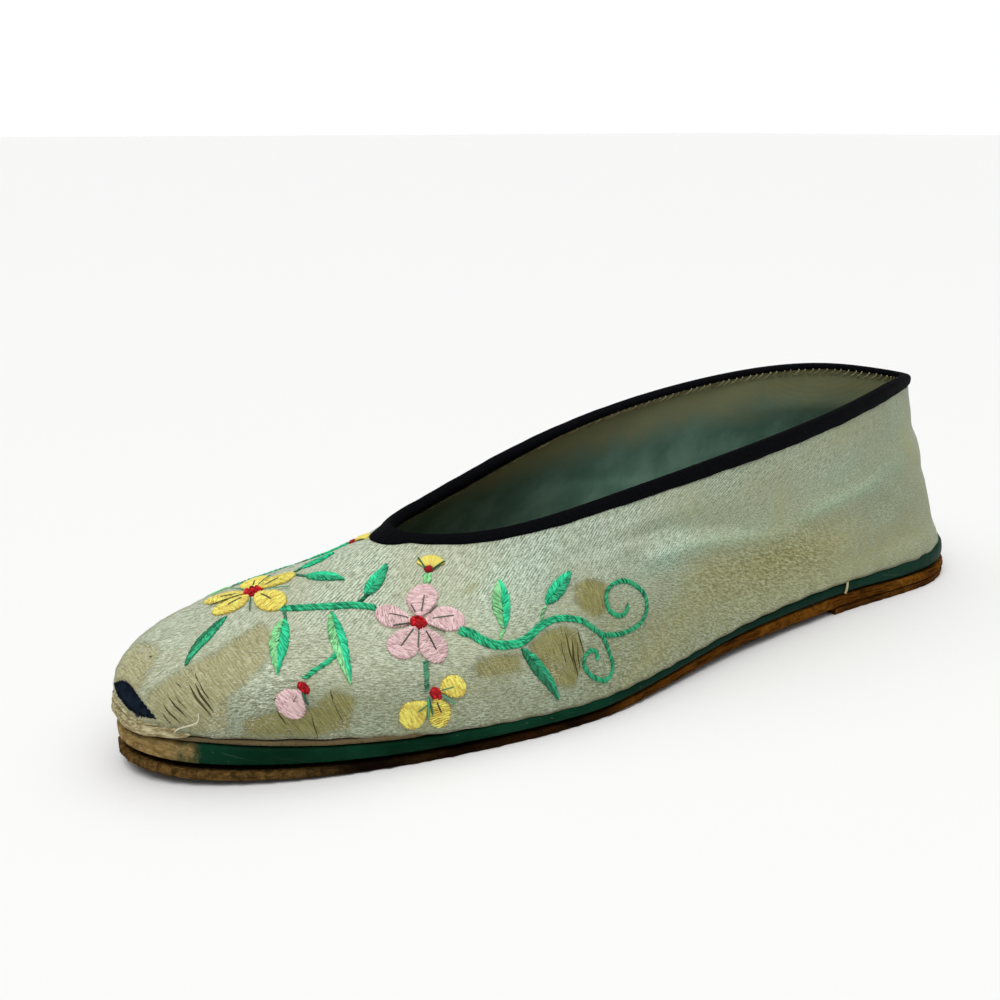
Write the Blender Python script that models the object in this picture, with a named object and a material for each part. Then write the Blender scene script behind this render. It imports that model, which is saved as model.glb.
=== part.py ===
"""Embroidered silk slipper, left foot: leather sole layers, a hollow silk upper and a taped collar.

Toe towards -X, heel towards +X, outer flank towards -Y, standing on Z = 0. Tables are in millimetres.
"""
import bpy
import numpy as np

MM = 0.001
LENGTH = 235.0
CENTRE_X = 117.24
CENTRE_Y = -0.18

WALL = 1.5
GAP = 0.3
TAPE = 0.7
TAPE_LEG = 3.0
INSOLE = 1.0
HEEL_LIFT = 1.6
HEEL_LIFT_FRONT = 0.74

SECTIONS_A_SIDE = 56
ROWS_UP = 11
STATIONS = 44

# Sole edge in plan. along: fraction of the length from the toe; outer, inner: half widths.
PLAN_COLUMNS = ("along", "outer", "inner")
PLAN = np.array([
    (0.00, 0.0, 0.0),
    (0.04, 14.8, 15.8),
    (0.10, 23.0, 24.6),
    (0.18, 29.4, 31.2),
    (0.28, 34.6, 35.4),
    (0.38, 36.6, 36.0),
    (0.48, 33.6, 32.2),
    (0.58, 29.6, 27.2),
    (0.68, 27.2, 24.8),
    (0.78, 25.8, 24.0),
    (0.88, 25.4, 22.2),
    (0.95, 20.8, 15.6),
    (1.00, 0.0, 0.0),
])

# Sole layers. under: height of the outsole's underside; outsole, band: thickness of the two layers.
SOLE_COLUMNS = ("along", "under", "outsole", "band")
SOLE = np.array([
    (0.00, 2.7, 2.0, 4.3),
    (0.03, 1.6, 2.0, 4.9),
    (0.09, 0.9, 1.8, 4.8),
    (0.16, 0.3, 1.7, 4.5),
    (0.22, 0.0, 1.7, 3.9),
    (0.36, 0.0, 1.6, 3.2),
    (0.46, 1.0, 1.9, 2.5),
    (0.60, 2.0, 2.6, 2.7),
    (0.70, 1.8, 2.9, 3.2),
    (0.76, 1.9, 2.9, 3.0),
    (0.86, 1.9, 2.1, 4.5),
    (1.00, 1.9, 1.9, 5.1),
])

# How far each edge is drawn in from the plan, and how high the silk's lower edge stands over the band.
EDGE_COLUMNS = ("along", "silk", "silk_height", "insole", "outsole")
EDGE = np.array([
    (0.00, 0.4, 1.6, 0.7, 0.0),
    (0.06, 0.7, 1.6, 1.0, 0.1),
    (0.10, 0.9, 1.6, 3.6, 0.1),
    (0.16, 1.0, 0.3, 4.0, 0.2),
    (0.27, 1.2, 0.3, 4.2, 0.4),
    (0.50, 1.0, 0.3, 4.2, 0.6),
    (0.75, 1.0, 0.3, 4.2, 0.8),
    (0.90, 1.9, 0.3, 5.0, 1.1),
    (1.00, 2.4, 0.3, 5.6, 1.3),
])

# Collar line. along: fraction from throat to heel; outer, inner: half widths; height over the floor.
COLLAR_COLUMNS = ("along", "outer", "inner", "height")
COLLAR = np.array([
    (0.00, 0.0, 0.0, 35.8),
    (0.06, 11.8, 11.2, 36.0),
    (0.25, 21.3, 20.7, 41.1),
    (0.50, 24.6, 26.9, 47.6),
    (0.75, 21.4, 23.6, 52.6),
    (0.92, 13.0, 11.8, 54.0),
    (1.00, 0.0, 0.0, 52.2),
])
THROAT = (62.6, 3.0)
HEEL_TOP = (224.4, 0.4)

# Upper sections from toe to heel. edge: fraction along the silk's lower edge; collar: fraction along the
# collar; lean: angle of the wall at the sole; lift: how far it keeps that lean; slope: angle of the wall
# below the collar; reach: how far it keeps that slope.
SECTION_COLUMNS = ("edge", "collar", "lean", "lift", "slope", "reach")
SECTION = np.array([
    (0.00, 0.000, 75.8, 16.4, 15.2, 47.8),
    (0.10, 0.010, 75.3, 17.3, 19.0, 39.4),
    (0.22, 0.045, 82.5, 16.4, 35.3, 25.0),
    (0.32, 0.140, 79.5, 11.8, 41.7, 16.7),
    (0.45, 0.330, 80.0, 13.0, 56.0, 12.0),
    (0.60, 0.540, 84.0, 14.0, 74.0, 14.0),
    (0.75, 0.720, 87.0, 15.0, 84.0, 15.0),
    (0.88, 0.870, 88.0, 14.0, 89.0, 14.0),
    (1.00, 1.000, 88.0, 15.0, 90.0, 12.0),
])

MATERIALS = {
    "silk": ((0.60, 0.66, 0.55, 1.0), 0.45),
    "green_leather": ((0.02, 0.12, 0.10, 1.0), 0.35),
    "sole_leather": ((0.25, 0.13, 0.05, 1.0), 0.75),
    "lift_leather": ((0.20, 0.10, 0.04, 1.0), 0.75),
    "tan_board": ((0.48, 0.36, 0.20, 1.0), 0.80),
    "dark_tape": ((0.015, 0.018, 0.03, 1.0), 0.80),
}


def column(table, names, name):
    """One named column of a table."""
    return table[:, names.index(name)]


def smooth(x, xs, ys):
    """Cubic through a short table that never passes its rows, level where two rows are equal."""
    step = np.diff(xs)
    rise = np.diff(ys) / step
    slope = np.zeros_like(ys)
    first = 2.0 * step[1:] + step[:-1]
    second = step[1:] + 2.0 * step[:-1]
    same = rise[1:] * rise[:-1] > 0.0
    safe = np.where(same[None, :], np.stack([rise[:-1], rise[1:]]), 1.0)
    mean = (first + second) / (first / safe[0] + second / safe[1])
    slope[1:-1] = np.where(same, mean, 0.0)
    slope[0] = rise[0]
    slope[-1] = rise[-1]
    i = np.clip(np.searchsorted(xs, x, side="right") - 1, 0, len(xs) - 2)
    t = (x - xs[i]) / step[i]
    near = ys[i] * (1.0 + 2.0 * t) * (1.0 - t) ** 2 + slope[i] * step[i] * t * (1.0 - t) ** 2
    far = ys[i + 1] * t * t * (3.0 - 2.0 * t) + slope[i + 1] * step[i] * t * t * (t - 1.0)
    return near + far


def spline(x, xs, ys, flat_ends=False):
    """Cubic with an even bend through a short table, level at both ends if asked."""
    step = np.diff(xs)
    rise = np.diff(ys) / step
    rows = np.diag(np.concatenate([[2.0], 2.0 * (1.0 / step[1:] + 1.0 / step[:-1]), [2.0]]))
    between = 3.0 * (rise[1:] / step[1:] + rise[:-1] / step[:-1])
    right = np.concatenate([[3.0 * rise[0]], between, [3.0 * rise[-1]]])
    inside = np.arange(1, len(xs) - 1)
    rows[inside, inside - 1] = 1.0 / step[:-1]
    rows[inside, inside + 1] = 1.0 / step[1:]
    rows[0, 1] = 0.0 if flat_ends else 1.0
    rows[-1, -2] = 0.0 if flat_ends else 1.0
    if flat_ends:
        right[0] = 0.0
        right[-1] = 0.0
    slope = np.linalg.solve(rows, right)
    i = np.clip(np.searchsorted(xs, x, side="right") - 1, 0, len(xs) - 2)
    t = (x - xs[i]) / step[i]
    near = ys[i] * (1.0 + 2.0 * t) * (1.0 - t) ** 2 + slope[i] * step[i] * t * (1.0 - t) ** 2
    far = ys[i + 1] * t * t * (3.0 - 2.0 * t) + slope[i + 1] * step[i] * t * t * (t - 1.0)
    return near + far


def sole_value(along, name):
    """Height or thickness of a sole layer at a fraction of the length."""
    return smooth(along, column(SOLE, SOLE_COLUMNS, "along"), column(SOLE, SOLE_COLUMNS, name))


def edge_value(along, name):
    """Inset or height of an edge at a fraction of the length."""
    return np.interp(along, column(EDGE, EDGE_COLUMNS, "along"), column(EDGE, EDGE_COLUMNS, name))


def half_width(along, table, names, side):
    """Half width, read through its square so that both ends are round."""
    squares = column(table, names, side) ** 2
    return np.sqrt(np.maximum(spline(along, table[:, 0], squares), 0.0))


def level_normal(loop):
    """Outward level normal of a closed loop that runs toe, outer flank, heel, inner flank."""
    along = np.roll(loop, -1, axis=0) - np.roll(loop, 1, axis=0)
    along = along[:, :2] / np.linalg.norm(along[:, :2], axis=1)[:, None]
    return np.stack([along[:, 1], -along[:, 0]], axis=-1)


def outline(count, inset_name=None, start=0.0):
    """Plan outline as a closed loop, from the toe along the outer flank to the heel and back.

    With a start behind the toe the loop has a straight front edge there.
    """
    turn = np.linspace(0.0, np.pi, count + 1)
    along = (1.0 - np.cos(turn)) / 2.0
    if start > 0.0:
        along = start + (1.0 - start) * np.sin(turn / 2.0)
    outer = np.stack([along * LENGTH, -half_width(along, PLAN, PLAN_COLUMNS, "outer")], axis=-1)
    inner = np.stack([along * LENGTH, half_width(along, PLAN, PLAN_COLUMNS, "inner")], axis=-1)
    back = inner[-2::-1] if start > 0.0 else inner[-2:0:-1]
    loop = np.vstack([outer, back])
    if inset_name is not None:
        inset = edge_value(loop[:, 0] / LENGTH, inset_name)
        loop = loop - level_normal(loop) * inset[:, None]
    return loop


def along_line(points, fraction):
    """Points at fractions of a line's own length."""
    run = np.linalg.norm(np.diff(points, axis=0), axis=1)
    far = np.concatenate([[0.0], np.cumsum(run)])
    far = far / far[-1]
    return np.stack([np.interp(fraction, far, points[:, k]) for k in range(points.shape[1])], axis=-1)


def band_top(along):
    """Height of the green band's upper face."""
    layers = sole_value(along, "outsole") + GAP + sole_value(along, "band")
    return sole_value(along, "under") + layers


def silk_edge(side, edge):
    """Lower edge of the upper on one side, at fractions of its length from toe to heel."""
    count = 400
    loop = outline(count, "silk")
    line = loop[:count + 1]
    if side > 0:
        line = np.vstack([loop[:1], loop[:count - 1:-1]])
    flat = along_line(line, edge)
    along = np.clip(flat[:, 0] / LENGTH, 0.0, 1.0)
    return np.column_stack([flat, band_top(along) + edge_value(along, "silk_height")])


def collar_line(side, fraction):
    """Collar edge of the upper on one side, at fractions of its length from throat to heel."""
    along = (1.0 - np.cos(np.linspace(0.0, np.pi, 401))) / 2.0
    name = "outer" if side < 0 else "inner"
    wide = half_width(along, COLLAR, COLLAR_COLUMNS, name)
    x = THROAT[0] + (HEEL_TOP[0] - THROAT[0]) * along
    y = THROAT[1] + (HEEL_TOP[1] - THROAT[1]) * along + side * wide
    z = spline(along, COLLAR[:, 0], column(COLLAR, COLLAR_COLUMNS, "height"))
    return along_line(np.column_stack([x, y, z]), fraction)


def both_sides(outer, inner):
    """Join the outer and inner halves into one loop round the foot."""
    return np.concatenate([outer, inner[-2:0:-1]])


def upper_face(sections, height):
    """Outer face of the upper: curves that fan from the sole up to the collar.

    sections is the number a side, height the fractions up each curve. Each curve is a cubic that leaves the
    lower edge at its lean and comes to the collar at its slope.
    """
    edge = np.linspace(0.0, 1.0, sections + 1)
    share = smooth(edge, SECTION[:, 0], column(SECTION, SECTION_COLUMNS, "collar"))
    low = both_sides(silk_edge(-1, edge), silk_edge(1, edge))
    top = both_sides(collar_line(-1, share), collar_line(1, share))
    value = {}
    for name in SECTION_COLUMNS[2:]:
        half = spline(edge, SECTION[:, 0], column(SECTION, SECTION_COLUMNS, name), True)
        value[name] = both_sides(half, half)
    lean = np.radians(value["lean"])
    slope = np.radians(value["slope"])
    rise = np.column_stack([level_normal(low) * np.cos(lean)[:, None], np.sin(lean)])
    drop = np.column_stack([level_normal(top) * np.cos(slope)[:, None], -np.sin(slope)])
    first = low + rise * value["lift"][:, None]
    second = top + drop * value["reach"][:, None]
    h = np.asarray(height)[None, :, None]
    lower = low[:, None] * (1.0 - h) ** 3 + 3.0 * first[:, None] * h * (1.0 - h) ** 2
    upper = 3.0 * second[:, None] * h * h * (1.0 - h) + top[:, None] * h ** 3
    return lower + upper


def face_normal(grid):
    """Outward unit normals of a grid that closes round its first axis."""
    around = np.roll(grid, -1, axis=0) - np.roll(grid, 1, axis=0)
    upward = np.gradient(grid, axis=1)
    normal = np.cross(around, upward)
    return normal / np.linalg.norm(normal, axis=2)[:, :, None]


def ring_faces(around, profile, closed):
    """Quads of a grid that closes round its first axis, and across its second if closed."""
    j = np.arange(around)[:, None]
    last = profile if closed else profile - 1
    k = np.arange(last)[None, :]
    right = (j + 1) % around
    above = (k + 1) % profile
    quads = [j * profile + k, right * profile + k, right * profile + above, j * profile + above]
    return np.stack(quads, axis=-1).reshape(-1, 4)


def add_object(name, points, faces, slot):
    """Make one named closed solid, in metres about the slipper's centre."""
    place = (np.asarray(points) - np.array([CENTRE_X, CENTRE_Y, 0.0])) * MM
    mesh = bpy.data.meshes.new(name)
    mesh.from_pydata(place.tolist(), [], [tuple(int(v) for v in face) for face in faces])
    mesh.validate()
    mesh.update()
    mesh.materials.append(bpy.data.materials[slot])
    item = bpy.data.objects.new(name, mesh)
    bpy.context.scene.collection.objects.link(item)
    return item


def add_material(name, colour, roughness):
    """Make one plain surface."""
    material = bpy.data.materials.new(name)
    material.use_nodes = True
    surface = material.node_tree.nodes["Principled BSDF"]
    surface.inputs["Base Color"].default_value = colour
    surface.inputs["Roughness"].default_value = roughness


def add_upper():
    """Hollow silk wall, open at the collar and underneath."""
    height = np.linspace(0.0, 1.0, ROWS_UP + 1)
    outside = upper_face(SECTIONS_A_SIDE, height)
    inside = outside - face_normal(outside) * WALL
    inside[:, 0, 2] = outside[:, 0, 2]
    profile = np.concatenate([outside, inside[:, ::-1]], axis=1)
    around, across = profile.shape[:2]
    return add_object("upper", profile.reshape(-1, 3), ring_faces(around, across, True), "silk")


def add_binding():
    """Tape folded over the collar edge, a leg on each face of the wall."""
    fine = np.linspace(0.0, 1.0, 201)
    grid = upper_face(SECTIONS_A_SIDE, fine)
    normal = face_normal(grid)
    run = np.cumsum(np.linalg.norm(np.diff(grid[:, ::-1], axis=1), axis=2), axis=1)
    run = np.concatenate([np.zeros((len(grid), 1)), run], axis=1)

    def below(distance):
        """Wall points and normals at a distance below the collar edge."""
        i = np.argmin(np.abs(run - distance), axis=1)
        j = np.arange(len(grid))
        return grid[j, 200 - i], normal[j, 200 - i]

    top, out = below(0.0)
    mid, out_mid = below(TAPE_LEG / 2.0)
    low, out_low = below(TAPE_LEG)
    off = top - mid
    off = off / np.linalg.norm(off, axis=1)[:, None]
    far = GAP + TAPE
    deep = WALL + GAP
    profile = [
        low + out_low * far,
        mid + out_mid * far,
        top + out * far,
        top + out * (far - TAPE) + off * far,
        top - out * deep + off * far,
        top - out * (deep + TAPE),
        mid - out_mid * (deep + TAPE),
        low - out_low * (deep + TAPE),
        low - out_low * deep,
        mid - out_mid * deep,
        top - out * deep + off * GAP,
        top + out * GAP + off * GAP,
        mid + out_mid * GAP,
        low + out_low * GAP,
    ]
    points = np.stack(profile, axis=1)
    around, across = points.shape[:2]
    return add_object("collar_binding", points.reshape(-1, 3), ring_faces(around, across, True), "dark_tape")


def add_plate(name, loop, under, over, slot):
    """Sole layer: a closed outline with a lower and an upper face, joined straight across the foot."""
    count = len(loop)
    half = count // 2
    shared = count if count % 2 == 0 else count - 1
    points = np.vstack([np.column_stack([loop, under]), np.column_stack([loop, over])])
    faces = []
    for i in range(count):
        j = (i + 1) % count
        faces.append((i, j, count + j, count + i))
    for i in range(half):
        across = [i, (shared - i) % count, shared - i - 1, i + 1]
        across = list(dict.fromkeys(across))
        faces.append(across)
        faces.append([count + v for v in reversed(across)])
    return add_object(name, points, faces, slot)


def add_soles():
    """Heel lift, outsole, green band and insole board, each a gap apart."""
    loop = outline(STATIONS, "outsole")
    along = np.clip(loop[:, 0] / LENGTH, 0.0, 1.0)
    under = sole_value(along, "under")
    add_plate("outsole", loop, under, under + sole_value(along, "outsole"), "sole_leather")

    lift = outline(STATIONS // 2, "outsole", HEEL_LIFT_FRONT)
    flat = np.zeros(len(lift))
    add_plate("heel_lift", lift, flat, flat + HEEL_LIFT, "lift_leather")

    loop = outline(STATIONS)
    along = np.clip(loop[:, 0] / LENGTH, 0.0, 1.0)
    top = band_top(along)
    add_plate("midsole", loop, top - sole_value(along, "band"), top, "green_leather")

    loop = outline(STATIONS, "insole")
    along = np.clip(loop[:, 0] / LENGTH, 0.0, 1.0)
    under = band_top(along) + GAP
    add_plate("insole", loop, under, under + INSOLE, "tan_board")


for item in list(bpy.data.objects):
    bpy.data.objects.remove(item, do_unlink=True)
for slot_name, (slot_colour, slot_roughness) in MATERIALS.items():
    add_material(slot_name, slot_colour, slot_roughness)
add_soles()
add_upper()
add_binding()
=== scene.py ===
import bmesh
import bpy
import numpy as np
from mathutils import Matrix


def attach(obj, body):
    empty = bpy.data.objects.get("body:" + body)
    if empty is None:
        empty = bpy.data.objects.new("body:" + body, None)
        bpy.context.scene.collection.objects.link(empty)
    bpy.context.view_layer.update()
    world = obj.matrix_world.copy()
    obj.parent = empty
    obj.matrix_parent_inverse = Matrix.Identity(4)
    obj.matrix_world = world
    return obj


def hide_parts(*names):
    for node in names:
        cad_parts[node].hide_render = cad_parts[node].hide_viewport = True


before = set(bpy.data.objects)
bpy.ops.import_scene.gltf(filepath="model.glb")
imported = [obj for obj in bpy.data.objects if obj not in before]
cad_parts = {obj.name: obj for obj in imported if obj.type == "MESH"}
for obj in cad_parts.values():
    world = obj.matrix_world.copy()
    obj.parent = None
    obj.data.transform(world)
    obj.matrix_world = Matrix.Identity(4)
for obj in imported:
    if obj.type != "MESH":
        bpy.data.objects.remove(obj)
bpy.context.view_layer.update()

MM = 0.001
WELD = 2e-6
LENGTH = 235.0
CENTRE = np.array([117.24, -0.18, 0.0])
WALL = 1.5
GAP = 0.3
INSOLE = 1.0
HEEL_LIFT = 1.6
HEEL_LIFT_FRONT = 0.74

# Sole edge in plan. along: fraction of the length from the toe; outer, inner: half widths.
PLAN_COLUMNS = ("along", "outer", "inner")
PLAN = np.array([
    (0.00, 0.0, 0.0),
    (0.04, 14.8, 15.8),
    (0.10, 23.0, 24.6),
    (0.18, 29.4, 31.2),
    (0.28, 34.6, 35.4),
    (0.38, 36.6, 36.0),
    (0.48, 33.6, 32.2),
    (0.58, 29.6, 27.2),
    (0.68, 27.2, 24.8),
    (0.78, 25.8, 24.0),
    (0.88, 25.4, 22.2),
    (0.95, 20.8, 15.6),
    (1.00, 0.0, 0.0),
])

# Sole layers. under: height of the outsole's underside; outsole, band: thickness of the two layers.
SOLE_COLUMNS = ("along", "under", "outsole", "band")
SOLE = np.array([
    (0.00, 2.7, 2.0, 4.3),
    (0.03, 1.6, 2.0, 4.9),
    (0.09, 0.9, 1.8, 4.8),
    (0.16, 0.3, 1.7, 4.5),
    (0.22, 0.0, 1.7, 3.9),
    (0.36, 0.0, 1.6, 3.2),
    (0.46, 1.0, 1.9, 2.5),
    (0.60, 2.0, 2.6, 2.7),
    (0.70, 1.8, 2.9, 3.2),
    (0.76, 1.9, 2.9, 3.0),
    (0.86, 1.9, 2.1, 4.5),
    (1.00, 1.9, 1.9, 5.1),
])

# How far each edge is drawn in from the plan, and how high the silk's lower edge stands over the band.
EDGE_COLUMNS = ("along", "silk", "silk_height", "outsole")
EDGE = np.array([
    (0.00, 0.4, 1.6, 0.0),
    (0.06, 0.7, 1.6, 0.1),
    (0.10, 0.9, 1.6, 0.1),
    (0.16, 1.0, 0.3, 0.2),
    (0.27, 1.2, 0.3, 0.4),
    (0.50, 1.0, 0.3, 0.6),
    (0.75, 1.0, 0.3, 0.6),
    (0.90, 1.9, 0.3, -2.2),
    (1.00, 2.4, 0.3, -0.6),
])

# Collar line. along: fraction from throat to heel; outer, inner: half widths; height over the floor.
COLLAR_COLUMNS = ("along", "outer", "inner", "height")
COLLAR = np.array([
    (0.00, 0.0, 0.0, 35.8),
    (0.06, 11.8, 11.2, 36.0),
    (0.25, 21.3, 20.7, 41.1),
    (0.50, 24.6, 26.9, 47.6),
    (0.75, 21.4, 23.6, 52.6),
    (0.92, 13.0, 11.8, 54.0),
    (1.00, 0.0, 0.0, 52.2),
])
THROAT = (62.6, 3.0)
HEEL_TOP = (224.4, 0.4)

# Upper sections from toe to heel, as fractions along the silk's lower edge and along the collar.
SECTION_COLUMNS = ("edge", "collar", "lean", "lift", "slope", "reach")
SECTION = np.array([
    (0.00, 0.000, 75.8, 16.4, 15.2, 47.8),
    (0.10, 0.010, 75.3, 17.3, 19.0, 39.4),
    (0.22, 0.045, 82.5, 16.4, 35.3, 25.0),
    (0.32, 0.140, 79.5, 11.8, 41.7, 16.7),
    (0.45, 0.330, 80.0, 13.0, 56.0, 12.0),
    (0.60, 0.540, 84.0, 14.0, 74.0, 14.0),
    (0.75, 0.720, 87.0, 15.0, 84.0, 15.0),
    (0.88, 0.870, 88.0, 14.0, 89.0, 14.0),
    (1.00, 1.000, 88.0, 15.0, 90.0, 12.0),
])

# Fineness: sections a side and rows of the silk, rows of its inner face, columns a side of its front chart,
# sections and rows of the lining, rows to measure a whole section, and points a side of the upper's edges,
# the sole and the heel lift.
SECTIONS = 340
ROWS = 132
SKIN_ROWS = 18
FRONT = 205
LINING_SECTIONS = 170
LINING_ROWS = 40
WHOLE_ROWS = 61
EDGE_POINTS = 400
SOLE_POINTS = 260
LIFT_POINTS = 130

# Skins of the upper, mm in from its face: the silk's inner face, its turned hem, the lining's two faces; and
# how much higher the lining's lower edge ends.
SILK_SKIN = 0.6
HEM_IN = 0.3
HEM_DROP = 0.22
LINING_FACE = 0.8
LINING_BACK = WALL - 0.05
LINING_SHORT = 0.2

# Relief of the silk: how far from collar and hem it is held flat, then heights and depths of what shapes it.
COLLAR_HOLD = 8.0
HEM_HOLD = 6.0
SLACK = 0.10
LINING_SLACK = 0.11
PUCKER = 0.14
BARE_DEPTH = 0.10
HOLE_DEPTH = 0.60
HOLE_LIP = 0.22

# How far the silk's lower edge is drawn up from the sole, where the tan board shows: fraction of length, mm.
DRAWN_UP = np.array([(0.00, 0.0), (0.10, 0.0), (0.15, 0.95), (0.22, 0.45), (0.28, 0.05), (0.36, 0.0)])

# How far the silk stands out and hangs down over the green band: fraction of length, mm out, mm down.
OVERHANG = np.array([
    (0.04, 0.0, 0.0), (0.08, 0.0, 0.3), (0.13, 0.0, 0.75), (0.17, 0.1, 1.1), (0.22, 0.3, 1.3),
    (0.27, 0.4, 1.15), (0.33, 0.6, 1.0), (0.42, 1.00, 0.3), (0.56, 1.20, 0.35), (0.76, 1.20, 0.0),
    (0.88, 1.60, 0.9), (0.94, 1.10, 0.8), (0.97, 0.2, 0.3), (1.00, -0.2, 0.0),
])

# How far the green band's top and the board on it are pressed down: fraction of length, mm.
BAND_DROP = np.array([
    (0.05, 0.0), (0.10, 0.6), (0.13, 1.0), (0.17, 1.2), (0.27, 1.0), (0.33, 0.8), (0.42, 0.0),
])

# How far the tan board's edge is drawn in from the plan: fraction of length, mm.
BOARD_IN = np.array([
    (0.00, 0.7), (0.10, 0.6), (0.20, 0.6), (0.27, 4.2), (0.75, 4.2), (0.90, 5.0), (1.00, 5.6),
])

# Width of the tape's outer and inner leg: mm from the toe, mm.
TAPE_OUTER = np.array([
    (62.0, 2.1), (80.0, 2.2), (110.0, 2.7), (150.0, 3.1), (200.0, 3.0), (216.0, 2.0), (222.0, 1.2),
])
TAPE_INNER = np.array([(62.0, 2.6), (95.0, 2.6), (125.0, 0.9), (224.0, 0.8)])

# Soft folds of the cloth: from u, v to u, v, then width and height in mm, troughs negative.
FOLDS = np.array([
    (105.8, -36.1, 124.3, -39.2, 2.4, 0.55), (122.0, -39.0, 157.0, -47.0, 2.2, 0.70),
    (105.0, -30.2, 138.0, -38.3, 3.0, -0.6), (126.0, -44.2, 158.0, -51.5, 3.2, -0.18),
    (161.8, -43.6, 194.0, -44.0, 2.0, 0.8), (190.0, -44.0, 208.0, -42.3, 2.4, 0.5),
    (166.0, -48.0, 200.0, -49.8, 2.8, -0.55), (150.0, -31.0, 153.0, -43.5, 2.6, -0.35),
    (118.0, -58.0, 150.0, -62.0, 2.6, 0.35), (170.0, -56.0, 200.0, -58.5, 3.0, 0.35),
    (196.0, -36.0, 252.0, -35.0, 2.8, -0.5), (200.5, -46.8, 252.0, -48.0, 2.4, -0.35),
    (190.0, -58.0, 275.0, -58.0, 11.0, -1.2), (197.0, 38.3, 252.0, 38.3, 2.8, -0.4),
    (190.0, 58.0, 275.0, 58.0, 11.0, -1.2), (110.75, 38.43, 166.3, 48.72, 3.5, 0.45),
    (113.27, 45.9, 166.74, 55.78, 5.0, -0.4), (86.56, -25.81, 112.71, -30.91, 1.5, -0.16),
    (94.62, -29.74, 120.74, -35.24, 1.5, 0.18), (98.47, -26.67, 124.96, -30.74, 1.6, 0.14),
    (3.5, -7.52, 10.32, -1.53, 1.8, -0.4), (0.45, -5.23, 11.29, 1.79, 1.6, 0.28),
    (6.47, -10.73, 27.88, -8.55, 1.6, 0.22), (9.11, -19.4, 20.67, -20.86, 1.8, 0.2),
    (13.21, 1.23, 18.38, 9.95, 1.8, -0.25), (43.76, -4.24, 51.64, -7.46, 1.4, 0.16),
    (55.71, -36.87, 68.93, -39.92, 1.4, -0.16), (75.01, -36.35, 82.69, -51.38, 1.0, -0.22),
    (80.44, -38.41, 84.65, -47.15, 0.9, 0.18), (60.48, -44.8, 96.67, -54.96, 2.6, 0.22),
])

# Outlines of what the wear has left, on the flat pattern.
TOE_HOLE = [
    (-3.0, 1.6), (-2.0, -0.3), (-1.5, -2.1), (-1.6, -4.5), (-2.2, -7.0), (-3.0, -9.2), (-3.5, -10.4),
    (-6.2, -6.8), (-5.9, -4.9), (-5.5, -2.3), (-4.8, 0.4),
]
BARE = [
    [
        (-1.51, -7.88), (3.94, -8.82), (8.45, -10.28), (14.6, -11.12), (21.03, -10.02), (26.33, -9.49),
        (26.6, -13.8), (21.64, -17.64), (18.85, -18.73), (14.07, -18.97), (10.8, -18.4), (7.6, -20.2),
        (4.7, -21.0), (-0.1, -17.7), (-1.8, -14.7), (-4.45, -11.4),
    ],
    [
        (9.0, -21.91), (13.04, -23.45), (18.21, -25.0), (19.88, -26.66), (24.18, -27.59), (29.05, -27.26),
        (30.1, -28.69), (31.29, -29.93), (28.65, -31.75), (26.06, -33.13), (19.23, -30.9),
        (11.73, -26.87), (6.93, -23.69),
    ],
    [
        (56.92, -36.12), (59.05, -35.33), (63.49, -36.42), (67.81, -38.18), (66.77, -41.29),
        (61.17, -40.17), (57.17, -38.41),
    ],
    [
        (70.83, -37.92), (75.8, -37.29), (80.45, -38.41), (82.84, -41.1), (82.85, -45.07),
        (80.32, -48.94), (77.44, -50.66), (73.06, -47.73), (70.9, -43.9),
    ],
    [
        (86.7, -32.0), (90.7, -32.4), (94.0, -35.2), (93.6, -38.3), (91.9, -40.8), (89.2, -41.2),
        (86.6, -38.4), (85.5, -35.1),
    ],
    [
        (-3.76, -1.12), (-2.23, 5.08), (1.6, 6.55), (5.4, 5.71), (6.99, 1.68), (6.79, -2.46),
        (3.07, -5.1), (-0.77, -5.96),
    ],
]
# Soft spots on the flat pattern: u, v, half length, half width, amount.
STAINS = np.array([
    (151.22, -56.42, 32.0, 7.0, 0.6), (129.3, -50.95, 13.0, 5.0, 0.6), (184.98, -61.82, 16.0, 5.0, 0.6),
    (66.84, -20.96, 1.9, 1.0, 0.85), (54.87, -14.49, 3.0, 0.4, 0.6), (107.04, -54.88, 11.0, 6.0, 0.6),
    (93.65, -57.91, 16.0, 3.5, 0.5), (203.84, -60.76, 14.0, 7.0, 0.5), (177.89, -27.68, 16.0, 3.0, 0.35),
    (94.85, -45.97, 7.0, 6.0, 0.45), (138.4, -32.49, 14.0, 4.0, 0.35), (222.43, -43.75, 16.0, 12.0, 0.4),
    (44.24, -39.92, 14.0, 3.0, 0.45), (161.98, 59.02, 40.0, 9.0, 0.5), (71.41, 49.12, 30.0, 6.0, 0.4),
    (150.0, -50.5, 10.0, 3.5, 0.7), (152.0, -37.5, 3.0, 6.0, 0.5), (121.0, -30.0, 5.0, 4.0, 0.4),
    (214.0, -38.0, 4.0, 9.0, 0.6), (88.0, -36.0, 7.0, 4.0, 0.4), (172.0, -53.0, 14.0, 4.0, 0.5),
    (-5.08, -0.26, 6.0, 16.0, 0.5), (0.63, 11.94, 8.0, 8.0, 0.5),
])
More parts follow.
